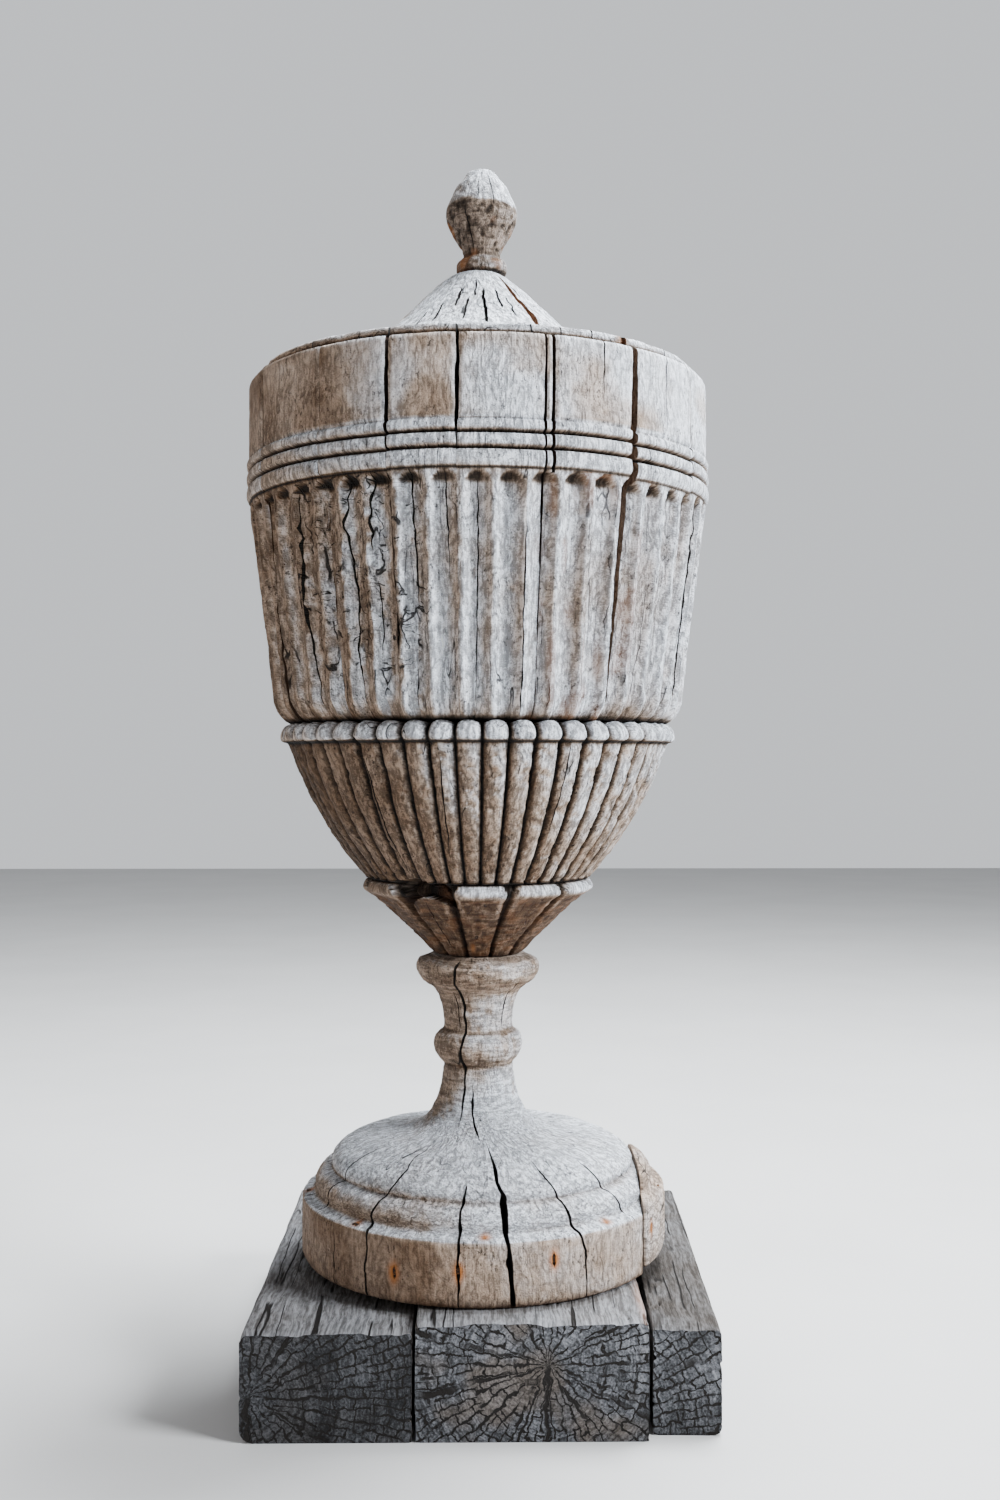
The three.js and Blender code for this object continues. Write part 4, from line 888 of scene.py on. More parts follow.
def bowl_grid(sizes):
    """Bowl: 48 reeds of section depth * (1 - x^2.2)^0.6, with x from 0 at the crest to 1 at the valley, each
    topped by a bead; under them twelve flat leaves with rounded corners and thick rims, one of them rotted away
    at the top."""
    r, z, s, part = profile(([(2, 348.9), (37, 348.9)], 14), (BOWL_OUTSIDE, 1.85), (BOWL_HOLLOW, 16))
    turn = math.radians(1.3)
    shares = np.array([0, 0.035, 0.09, 0.18, 0.32, 0.5, 0.68, 0.82, 0.91, 0.965])
    base = (np.arange(-24, 24)[:, None] + shares[None]).ravel() * PITCH + turn
    outside = part == 1
    cracks = [
        (-29.5, [(350, 0.5), (375, -1), (400, 1)],
         [(356, 0), (362, 0.9), (385, 1.2), (396, 0.8), (400, 0)], 5),
        (-33.5, [(400, 2), (480, 0), (530, -1)], [(425, 0), (450, 1.5), (500, 1.8), (527, 0)], 6),
        (-11.0, [(400, 0), (530, 0.6)], [(440, 0), (455, 1.0), (500, 1.3), (520, 0)], 5),
        (26.0, [(400, -1), (530, 0.6)], [(460, 0), (475, 0.9), (520, 1.0), (528, 0)], 5),
        (100.0, [], [(430, 0), (450, 1.3), (510, 1.2), (527, 0)], 6),
        (171.0, [], [(420, 0), (440, 1.3), (530, 1.6), (540, 0)], 6),
        (-122.0, [], [(440, 0), (450, 1.3), (500, 1.2), (527, 0)], 6),
    ]
    angles, crack, _, own = crack_grid(base, z / MM, outside, np.maximum(r, 30 * MM), cracks)
    rr, zz = spread(r, angles.shape[1]), spread(z, angles.shape[1])
    out = spread(outside, angles.shape[1]) * 1.0
    u = (angles - turn) / PITCH
    sunk = noise(np.stack([np.floor(u), 0 * u, zz / (60 * MM)], -1), [1, 1, 1], 35)
    u = u - np.floor(u)
    x = np.abs(2 * u - 1)
    valley = 1 - np.clip(1 - x ** 2.2, 0, 1) ** 0.6
    across = (1 - x) * rr * PITCH / 2
    slot = bell(across, 1.45 * MM)
    reeds = smooth(414.6 * MM, 418 * MM, zz) * out
    depth = np.interp(zz, [413 * MM, 530 * MM], [0.62, 1.0]) * sizes.reed_depth
    bead = smooth(532.4 * MM, 533.6 * MM, zz) * out
    top = smooth(537 * MM, 548.6 * MM, zz)
    body = depth * valley + 3.8 * MM * slot + np.clip(sunk, 0, 1) * 0.9 * MM
    body = body + 2.2 * MM * (1 - smooth(417 * MM, 421 * MM, zz)) * x ** 2
    reed = reeds * (1 - bead)
    rr = rr - reed * body
    between = 6.6 * MM * valley + 4.2 * MM * bell(across, 2 * MM)
    rr = rr - bead * between * (1 - 0.2 * top) - bead * top * 1.8 * MM * x ** 2
    zz = zz - bead * top * 4.6 * MM * x ** 2.8
    lift = bead * (1 - smooth(533.6 * MM, 538 * MM, zz)) * 2.4 * MM * x ** 2.8
    zz = zz + lift
    # Leaves
    leaf = (1 - smooth(414.4 * MM, 416 * MM, zz)) * out
    v = (angles - turn) / (TAU / 12)
    which = np.round(v)
    v = v - which
    side = (0.5 - np.abs(v)) * TAU / 12 * rr
    flat = math.cos(math.pi / 12) / np.cos(v * TAU / 12)
    rr = rr * (1 + leaf * smooth(38 * MM, 60 * MM, rr) * 0.5 * (flat - 1))
    gap = np.interp(zz, [352 * MM, 400 * MM, 414 * MM], [1.7, 3.3, 3.7]) * MM
    joint = 1 - smooth(gap * 0.55, gap * 1.25, side)
    rim_top = 414.5 * MM - 6 * MM * (1 - smooth(0, 5.5 * MM, side - gap)) ** 2
    corner = leaf * smooth(rim_top - 0.8 * MM, rim_top + 0.8 * MM, zz)
    edge = bell(side - gap, 3.6 * MM) * 2.2 * MM * smooth(356 * MM, 372 * MM, zz)
    cut = np.minimum(9 * MM * joint, rr * 0.28) * (1 - corner) + np.minimum(7 * MM, rr * 0.2) * corner
    rr = rr - leaf * cut
    rr = rr - leaf * edge * (rr > 20 * MM)
    # One leaf has lost its rim: an arch is left, and a pocket above it runs up under the ragged reeds
    p = polar(rr, angles, zz)
    ragged = noise(p, [7 * MM] * 3, 31) * 2.4 * MM + noise(p, [3.4 * MM] * 3, 32) * 1.1 * MM
    degrees = np.degrees(angles)
    off = degrees + 27
    sill = 404.6 * MM - 7.5 * MM * np.clip(np.abs(off) / 12, 0, 1.35) ** 2.2 + 0.5 * ragged
    lintel = 415.5 * MM + ragged + 3.5 * MM * bell(off + 7, 5) - 5 * MM * smooth(9, 14, off)
    reach = smooth(-17.5, -15, off + ragged / MM) * (1 - smooth(12.2, 14.2, off))
    rot = smooth(sill - 0.9 * MM, sill + 0.9 * MM, zz)
    rot = rot * (1 - smooth(lintel - 0.9 * MM, lintel + 0.9 * MM, zz)) * reach * out
    rr = rr - rot * (17 * MM + 5 * MM * (off < 0))
    worn = bell(zz - sill + 3 * MM, 5 * MM) * reach * (1 - rot) * out
    rr = rr - 1.6 * MM * worn * (zz < sill)
    # Weathering
    lay = lay_of(angles, s, 70 + 0.5 * r / MM)
    p = polar(rr, angles, zz)
    relief = weathering(p, 60) * sizes.wear
    slant = np.stack([angles * 0.15, zz + angles * 0.11, 0 * zz], -1)
    nicks = smooth(0.4, 0.75, noise(slant, [6 * MM, 3.2 * MM, 1], 33)) * 1.3 * MM
    dents = smooth(0.35, 0.6, noise(p, [9 * MM, 9 * MM, 13 * MM], 34)) * 1.5 * MM
    fade = out * smooth(349 * MM, 353 * MM, zz) * (1 - smooth(546 * MM, 548.5 * MM, zz))
    lower = 1 - smooth(401 * MM, 404.5 * MM, zz)
    face = leaf * lower
    rough = np.abs(noise(np.stack([angles * 0.075, zz, 0 * zz], -1), [7 * MM, 3 * MM, 1], 36)) * face
    relief = np.clip(relief - (nicks + dents) * reed - 2.2 * MM * rough, -3 * MM, 0.7 * MM) * fade
    rr = rr + relief - crack
    p = polar(rr, angles, zz)
    # Marks
    # Painted shade on the reeds left of the front
    left_shade = smooth(-4, -40, degrees)
    # A painted highlight along each leaf's rounded border, near its top
    border = face * bell(side - gap - 3.4 * MM, 1.8 * MM) * smooth(380 * MM, 398 * MM, zz)
    rim = leaf * (1 - lower) * (1 - joint) * (1 - corner) * (1 - reach)
    # Painted shade in the reeds' slots, between the beads, in the leaf joints and corners, under the beads,
    # where the reeds meet the leaf rims, on the left reeds and the far left; the leaf faces are darker from
    # painted shade as well as gouged brown wood
    hollow = reed * (1.05 * slot + 0.16 * valley) + bead * (1.1 * bell(across, 1.9 * MM) + 0.12 * valley)
    hollow += leaf * (0.95 * joint * (1 - corner) + 0.85 * corner) + 0.75 * bell(zz - 532 * MM, 1.5 * MM) * out
    hollow += 0.85 * bell(zz - 415.6 * MM, 1.3 * MM) * out + (0.32 + 0.55 * rough) * face * (1 - border)
    hollow += (0.17 + 0.14 * left_shade) * reed + 0.2 * smooth(-46, -68, degrees) * out
    # The rotted pocket is painted near black, the shade inside it
    inside = 0.94 - 0.2 * smooth(-2, -12, off + ragged / MM * 2)
    hollow = np.where(rot > 0.3, inside, np.clip(hollow, 0, 1)) + lipped(crack) / (1.4 * MM) + 0.2 * worn
    hollow = hollow * out + 0.5 * (1 - out)
    # Paleness: painted light towards the key light and on the beads, painted shade low on the reeds, on the
    # left reeds and on the downward-facing leaf faces, all on top of bleaching; the leaf rims are a little
    # paler towards the right
    bleach = lit_and_bleached(p, own, np.clip(relief, -1 * MM, 1 * MM)) - 0.3 * smooth(530 * MM, 420 * MM, zz) * reeds
    bleach = bleach - 0.6 * left_shade * reed + (0.1 * smooth(-34, -4, degrees) - 0.2) * rim
    bleach = bleach + 0.45 * bead - 0.75 * face + 0.5 * border
    checks = np.clip(0.25 + 0.3 * noise(p, [40 * MM] * 3, 23), 0, 0.5) + 0.32 * face
    rust = (0.04 + 0.1 * smooth(0.1, 0.6, noise(p, [8 * MM, 8 * MM, 4 * MM], 37))) * face
    rust = rust + 0.12 * rot * smooth(2, 9, off)
    rust = rust + 0.5 * bell(angles + 0.09, 0.04) * bell(zz - 357 * MM, 4 * MM) * out
    marks = {"hollow": np.clip(hollow, 0, 1), "bleach": np.clip(bleach, 0, 1) * out, "checks": checks * out,
             "rust": np.clip(rust, 0, 1), "rings": (0.1 + 0.6 * face) * out}
    return p, lay, marks


# Foot

# Radius and height in millimetres: the disc with its ledge and torus, then the dome, stem, knop and collar
DISC = [
    (153, 90.4), (155.8, 92.2), (156.8, 96), (157, 120), (157, 141), (156.4, 142.8), (154, 143.7),
    (150, 144.3), (145.4, 146.2), (144.4, 148.2), (145.7, 152), (144.8, 157), (141.2, 161.6), (136, 164.2),
    (131, 164.7)]
ABOVE_DISC = [
    (129.4, 165.8), (130.9, 167.4), (131.4, 171.2), (128.5, 176.5), (122, 181.5), (112, 186), (98, 189.6),
    (82, 192), (68, 194.6), (58, 197.6), (50, 201.6), (44.5, 206), (40.8, 211), (38, 217), (35.6, 223),
    (33.6, 230), (32.1, 238), (31.1, 246), (30.0, 252.8), (31.8, 254.8), (35.4, 258.2), (38, 263.5),
    (39, 270.3), (37.8, 276), (34.4, 280), (30.4, 281.6), (29.8, 284), (29.9, 291), (30.6, 298), (31.8, 304),
    (33.6, 309.6), (35.6, 314), (38.6, 318.4), (43.6, 321.4), (49.4, 325), (53, 330.2), (54.6, 335.8),
    (54.2, 340.6), (51.6, 343.8), (46, 345.4), (41, 348.3)]
DISC_FOOT = 90.3
DISC_HEIGHT = 52
# Nails in the disc's side: angle, and share of the disc's height. Nails in its ledge: angle.
SIDE_NAILS = [(-26.3, 0.47), (-6.6, 0.57), (21.2, 0.69), (62, 0.74)]
LEDGE_NAILS = [-84, -42.2, 0.9, 41.9, 80]


def foot_grid(sizes):
    """Foot: the turned profile, leaning to the urn's axis above the disc, with cracks as deep slots whose
    direction swings from straight in at the disc's side to down at the dome."""
    bottom, top = [(2, 90.4), (153, 90.4)], [(41, 348.3), (2, 348.3)]
    r, z, s, part = profile((bottom, 25), (DISC + ABOVE_DISC, 2.0), (top, 14))
    base = np.linspace(-math.pi, math.pi, 300, endpoint=False)
    deep = sizes.split_depth / MM
    cracks = [
        (7.8, [(90, 1.3), (120, 0.3), (145, -0.6), (172, -0.4), (180, -1.9), (186, -1.4), (196, -2.8)],
         [(90.3, 4.6), (120, 4.2), (142, 3.8), (160, 4.6), (172, 4.2), (183, 3.4), (190, 2.2), (196, 0)],
         deep),
        (-36.0, [(90, 0), (142, 0.4), (150, -1.5), (166, 0.5), (176, 4), (184, 6), (190, 3)],
         [(90.3, 1.8), (120, 1.7), (142, 2.1), (165, 1.7), (185, 1.3), (192, 0.9), (194, 0)], 7),
        (-6.6, [(90, 0.3), (112, 0), (128, 0), (150, 0.4), (160, 0.2), (176, 1.4)],
         [(90.3, 0.9), (104, 1.5), (114, 1.9), (116, 3.8), (123.5, 4), (126, 1.9), (140, 2.6), (158, 2.1),
          (166, 2.0), (177, 1.6), (179, 0)], 6),
        (-22.4, [(250, 0.6), (262, -1.5), (280, 1.5), (318, -2), (345, 2)],
         [(205, 0), (213, 1.3), (240, 1.9), (283, 2.2), (318, 2.3), (343, 1.9), (346, 0)], 8),
        (-4, [(198, 5), (204, 2), (214, -3), (228, -4), (238, -4.5)],
         [(198, 0), (201, 1.6), (214, 1.9), (230, 1.8), (238, 0)], 6),
        (-31, [(284, 0), (300, 2), (318, 0)], [(284, 0), (290, 1.0), (312, 1.1), (318, 0)], 4),
        (43, [(250, 0), (345, 3)], [(286, 0), (292, 1.2), (318, 1.4), (330, 0)], 4),
        (31.5, [(90, 1), (130, 0), (145, -2), (166, -4), (184, -7)],
         [(90.3, 1.1), (110, 1.4), (142, 2.2), (160, 2.0), (182, 1.7), (189, 0)], 6),
        (49.5, [(140, 3.5), (150, 2), (166, -1), (180, -4)],
         [(141, 0), (146, 1.9), (165, 1.9), (181, 1.6), (186, 0)], 6),
        (-62.0, [(160, 0), (186, 4)], [(143, 0), (147, 1.6), (176, 1.8), (188, 1.3), (190, 0)], 6),
        (-50.0, [], [(90.3, 1.2), (128, 1.2), (134, 0)], 5),
        (128.0, [], [(90.3, 1.4), (142, 1.6), (176, 1.3), (188, 0)], 6),
        (176.0, [], [(90.3, 1.8), (142, 2.0), (180, 1.6), (192, 0), (230, 0), (240, 1.4), (320, 1.4),
                     (330, 0)], 8),
        (-120.0, [], [(90.3, 1.3), (142, 1.5), (168, 1.2), (176, 0)], 6),
    ]
    # The holes of the first and third nails are short wide cracks; the second's is part of a long one
    for a, share in (SIDE_NAILS[0], SIDE_NAILS[2]):
        mid = DISC_FOOT + DISC_HEIGHT * share
        cracks.append((a, [], [(mid - 5.5, 0), (mid - 3.5, 3.4), (mid + 2.5, 3.6), (mid + 5.5, 0)], 2.2))
    angles, crack, _, own = crack_grid(base, z / MM, part == 1, np.maximum(r, 28 * MM), cracks)
    rr, zz = spread(r, angles.shape[1]), spread(z, angles.shape[1])
    x = CENTRE_X * smooth(165 * MM, 210 * MM, zz)
    lay = lay_of(angles, s, np.interp(z / MM, [90, 143, 152, 197, 222, 348], [157, 157, 138, 92, 42, 42]))
    p = polar(rr, angles, zz, 0.0)
    n = normals(p)
    relief = weathering(p, 70) * sizes.wear
    chips = 1.8 * MM * np.clip(noise(p, [12 * MM] * 3, 71) - 0.1, 0, 1) * bell(zz - 142.6 * MM, 3 * MM)
    stem = smooth(200 * MM, 215 * MM, zz)
    knots = stem * smooth(0.5, 0.7, noise(p, [8 * MM, 8 * MM, 6 * MM], 72)) * 0.8 * MM
    rows = stem * 0.35 * MM * noise(np.stack([angles * 0.02, zz, 0 * zz], -1), [12 * MM, 2.4 * MM, 1], 73)
    knots += stem * bell(zz - 326 * MM, 12 * MM) * np.abs(noise(p, [9 * MM, 9 * MM, 5 * MM], 74)) * 1.3 * MM
    ends = smooth(90.5 * MM, 93 * MM, zz) * (1 - smooth(346 * MM, 348 * MM, zz))
    relief = np.clip(relief + rows - chips - knots, -3 * MM, 0.8 * MM) * ends
    p = p + n * relief[..., None]
    # Direction of the cracks
    heights = np.array([120, 142, 166, 190, 205, 235]) * MM
    swing = np.radians(np.interp(zz, heights, [0, 20, 45, 70, 60, 0]))
    inward = np.stack([-np.sin(angles) * np.cos(swing), np.cos(angles) * np.cos(swing), -np.sin(swing)], -1)
    p = p + inward * crack[..., None]
    # The disc is cut off upright where the side board has come away
    p[..., 0] -= np.clip(p[..., 0] - 132.8 * MM, 0, None) * (zz < 166 * MM)
    p[..., 0] += x
    radius = np.hypot(p[..., 0] - x, p[..., 1] - CENTRE_Y)
    band = smooth(90.6 * MM, 92 * MM, zz) * (1 - smooth(141.2 * MM, 142.8 * MM, zz))
    # Painted shade in the creases round the torus, at the foot of the dome, at the knop and above the collar,
    # under the knop and the collar, and in the cracks and knots; the disc's side is darker too
    seam = bell(zz - 165.6 * MM, 1.5 * MM) + 0.7 * bell(zz - 146.8 * MM, 1.5 * MM)
    tucks = bell(zz - 253 * MM, 1.8 * MM) + bell(zz - 282 * MM, 1.8 * MM) + bell(zz - 346.6 * MM, 2.2 * MM)
    hollow = 0.42 * seam + 0.5 * tucks + lipped(crack) / (1.4 * MM) + 0.06 * knots / MM
    hollow += 0.2 * band + 0.12 * bell(zz - 322 * MM, 9 * MM) + 0.1 * bell(zz - 262 * MM, 8 * MM)
    hollow += nail_holes(p)
    # Paleness: painted light on the dome, which faces up, and a painted highlight along the disc's top edge, on
    # top of bleaching; the disc's side and the stem are darker
    dome = smooth(160 * MM, 172 * MM, zz) * (1 - smooth(215 * MM, 250 * MM, zz))
    edge = bell(zz - 144 * MM, 2.4 * MM)
    bleach = lit_and_bleached(p, own, relief) + 0.45 * dome - 0.48 * band - 0.3 * stem + 0.4 * edge
    checks = 0.3 + 0.3 * noise(p, [35 * MM] * 3, 25) - 0.5 * band
    checks = checks + 0.2 * dome * bell(radius - 70 * MM, 35 * MM)
    rings = 0.75 * stem + 0.22 * band + 0.2 * (zz > 142 * MM) * (1 - stem)
    marks = {"hollow": np.clip(hollow, 0, 1), "bleach": np.clip(bleach, 0, 1),
             "checks": np.clip(checks, 0, 0.5), "rust": nail_stain(p) * (crack < 1 * MM),
             "rings": np.clip(rings, 0, 1)}
    return p, lay, marks


def nail_places():
    """Nail heads in space: those in the disc's side, then those in its ledge."""
    side = [(156.5, math.radians(a), DISC_FOOT + DISC_HEIGHT * share) for a, share in SIDE_NAILS]
    ledge = [(150.5, math.radians(a), 144.8) for a in LEDGE_NAILS]
    return [(r * math.sin(a) * MM, CENTRE_Y - r * MM * math.cos(a), z * MM) for r, a, z in side + ledge]


def nail_holes(p):
    """The upright black holes of the nails in the disc's side, painted shade standing in for holes (two also
    have a short crack cut): exp(-(d / reach)^4), d along its surface.
    """
    holes = np.zeros(p.shape[:-1])
    for (x, y, z), (angle, _) in zip(nail_places(), SIDE_NAILS):
        a = math.radians(angle)
        across = (p[..., 0] - x) * math.cos(a) + (p[..., 1] - y) * math.sin(a)
        deep = (p[..., 0] - x) * math.sin(a) - (p[..., 1] - y) * math.cos(a)
        near = (across / (2.1 * MM)) ** 2 + ((p[..., 2] - z) / (4.2 * MM)) ** 2
        holes = np.maximum(holes, np.exp(-near ** 2) * (np.abs(deep) < 8 * MM))
    return holes


def nail_stain(p):
    """Rust round every nail, drawn out downwards: exp(-(d / reach)^2)."""
    stain = np.zeros(p.shape[:-1])
    for i, place in enumerate(nail_places()):
        in_side = i < len(SIDE_NAILS)
        d = p - np.array(place)
        long = np.where(d[..., 2] < 0, 9, 8) * MM if in_side else 4 * MM
        wide = 4.4 * MM if in_side else 5 * MM
        near = (d[..., 0] ** 2 + d[..., 1] ** 2) / wide ** 2 + (d[..., 2] / long) ** 2
        stain = np.maximum(stain, np.exp(-near ** 1.5))
    return stain


def side_board_grid(sizes):
    """The loose board: the disc's edge beyond its joint, moved out and up, its back an upright plane. Each row
    spans the angles where the disc's radius reaches past the joint, plus or minus arccos(joint / radius)."""
    r, z, _, _ = profile(([(133.4, 90.4)] + DISC[:-1] + [(133.4, 164.6)], 1.7))
    half = np.arccos(np.clip(133.2 * MM / r, 0, 1))
    share = np.linspace(-1, 1, 70)
    angles = math.pi / 2 + half[:, None] * share[None]
    rr, zz = spread(r, len(share)), spread(z, len(share))
    p = polar(rr, angles, zz, 0.0)
    lay = np.stack([p[..., 2], p[..., 0], p[..., 1]], -1)
    relief = weathering(p, 75) * sizes.wear
    p[..., 0] += np.clip(relief, -2 * MM, 0.5 * MM) * smooth(91 * MM, 94 * MM, zz)
    back = p.copy()
    back[..., 0] = 131.2 * MM
    p = np.concatenate([p, back[::-1]], 0)
    p += np.array([2.5, 0, 6.0]) * MM
    p[..., 0] = np.minimum(p[..., 0], 159.4 * MM)
    lay = np.concatenate([lay, lay[::-1]], 0)
    front = np.concatenate([np.ones_like(zz), np.zeros_like(zz)], 0)
    marks = {"hollow": 0.1 * (1 - front) + nail_holes(p), "bleach": 0.25 + 0.1 * front, "checks": 0.3 * front,
             "rust": nail_stain(p), "rings": 0.2 * front}
    return p, lay, marks


def make_board(p, lay, marks, material):
    """The board's front and back joined all round by its thin edge."""
    rows, columns = p.shape[:2]
    p, lay = p.transpose(1, 0, 2), lay.transpose(1, 0, 2)
    full = {"lay": lay.reshape(-1, 3)}
    full.update({k: v.T.ravel() for k, v in marks.items()})
    near = np.arange(rows // 2 - 1)
    edge = np.stack([near + 1, near, rows - 1 - near, rows - 2 - near], -1)
    edges = np.concatenate([edge, edge[:, ::-1] + (columns - 1) * rows])
    faces = [np.concatenate([wrapped_faces(columns, rows), edges])]
    add_piece("foot_board", p.reshape(-1, 3), faces, full, material, ["foot_side_board"])


# Lid and finial

# Radius and height in millimetres: the edge, then the flared cone
LID_TOP = [
    (186, 840.8), (190.6, 841.6), (191.4, 843.4), (191.4, 847.6), (190, 849.6), (185, 850.6), (165, 853),
    (140, 858.5), (118, 865.5), (100, 875), (88, 884), (79, 892), (73, 898), (65.6, 905.5), (55, 916),
    (45.7, 925.6), (38, 932.8), (32, 937.6), (26.5, 941.6), (22, 944), (18, 945.2)]
# Short checks in the cone: angle, lowest and highest point, width
CONE_CHECKS = [(-33.5, 880, 893, 1.7), (-25, 883, 902, 1.9), (-15, 900, 918, 1.9), (-6.6, 883, 905, 1.8),
               (-2, 911, 926, 1.5), (4.4, 878, 916, 2.6), (16.3, 898, 916, 1.6), (24, 890, 908, 1.4),
               (-60, 880, 912, 1.3), (76, 876, 920, 1.3), (130, 880, 925, 1.3), (-150, 875, 920, 1.3)]
# Checks across the lid's flat edge: angle and width
EDGE_CHECKS = [(-20.9, 2.2), (-4.8, 2.0), (12.6, 1.4), (19.5, 1.3), (27.7, 1.5), (-43, 1.2), (52, 1.2),
               (105, 1.5), (180, 1.6), (-115, 1.5)]
NOTCH_ANGLE = 36.6


def lid_grid(sizes):
    """Lid: a flat disc whose flared top rises to a blunt point, with one wide split, short checks and a
    chipped edge that has lost one notch of wood."""
    r, z, s, part = profile(([(2, 840.8), (186, 840.8)], 25), (LID_TOP, 1.65), ([(18, 945.2), (2, 945.2)], 8))
    base = np.linspace(-math.pi, math.pi, 260, endpoint=False)
    cracks = [(33.6, [(830, -5), (850, -5), (872, -4), (881, -1), (891, 1), (905, 0), (925, -1), (934, -1)],
               [(841, 0), (870, 0), (880, 4.6), (893, 5.8), (912, 4.8), (926, 2.6), (934, 1.2), (937, 0)], 9)]
    for a, low, high, w in CONE_CHECKS:
        cracks.append((a, [], [(low - 2, 0), (low, w), (high, w), (high + 3, 0)], 5))
    for a, w in EDGE_CHECKS:
        cracks.append((a, [], [(841, w * 0.6), (849.4, w), (850.4, w), (852.5, 0)], 6))
    cracks.append((NOTCH_ANGLE, [], [(842.5, 0), (843.5, 6.5), (850, 7.5), (852, 0)], 7))
    angles, crack, split, own = crack_grid(base, z / MM, part == 1, np.maximum(r, 22 * MM), cracks)
    rr, zz = spread(r, angles.shape[1]), spread(z, angles.shape[1])
    lay = lay_of(angles, s, np.interp(z / MM, [841, 850, 868, 945], [190, 185, 90, 60]))
    p = polar(rr, angles, zz)
    relief = weathering(p, 80) * sizes.wear
    fade = smooth(840.9 * MM, 842 * MM, zz) * (1 - smooth(944.6 * MM, 945.2 * MM, zz))
    chips = np.clip(noise(p, [9 * MM] * 3, 81) - 0.1, 0, 1) * 2.6 * MM * bell(zz - 849 * MM, 3 * MM)
    tilt = np.radians(np.interp(zz, [849 * MM, 853 * MM], [0, 55]))
    amount = (np.clip(relief, -2 * MM, 0.5 * MM) - chips) * fade - crack
    push = np.stack([np.sin(angles) * np.cos(tilt), -np.cos(angles) * np.cos(tilt), np.sin(tilt)], -1)
    p = p + push * amount[..., None]
    notch = bell(np.degrees(angles) - NOTCH_ANGLE, 1.6) * bell(zz - 847 * MM, 4 * MM)
    brown = np.clip(lipped(split) / (3 * MM), 0, 1)
    hollow = np.where(brown > 0.2, 0.5, lipped(crack) / (1.4 * MM)) * (1 - 0.55 * notch)
    # Painted shadow in a dark line under the lid's edge
    hollow = hollow + 0.8 * bell(zz - 842.4 * MM, 2.0 * MM)
    # The cone, which faces up, is painted paler: painted light as well as bleaching
    cone = smooth(852 * MM, 870 * MM, zz)
    bleach = lit_and_bleached(p, own, relief) * (1 - 0.85 * np.maximum(brown, notch)) + 0.4 * cone
    checks = 0.3 + 0.3 * noise(p, [30 * MM] * 3, 27)
    marks = {"hollow": np.clip(hollow, 0, 1), "bleach": np.clip(bleach, 0, 1),
             "checks": np.clip(checks, 0, 0.5), "rust": np.clip(0.28 * brown + 0.35 * notch, 0, 1),
             "rings": 0.12 + 0.3 * (zz < 850 * MM)}
    return p, lay, marks


# Radius and height in millimetres: the ring, the neck, then the acorn
FINIAL = [
    (1, 946), (19.5, 946), (21.6, 947.2), (22.5, 950), (22.4, 954), (20.8, 957.6), (17.6, 959.6),
    (16.3, 961.8), (16.4, 964.4), (18.4, 969.4), (21.8, 975.5), (25.2, 981), (28.2, 987), (30.6, 993.4),
    (31.3, 999), (31.0, 1004), (28.9, 1009.4), (26.4, 1014.6), (24.2, 1020), (21.6, 1024.6), (18.4, 1028.2),
    (16.6, 1030.4), (15.2, 1033.2), (12.4, 1036.2), (8.4, 1038.4), (1, 1039.2)]


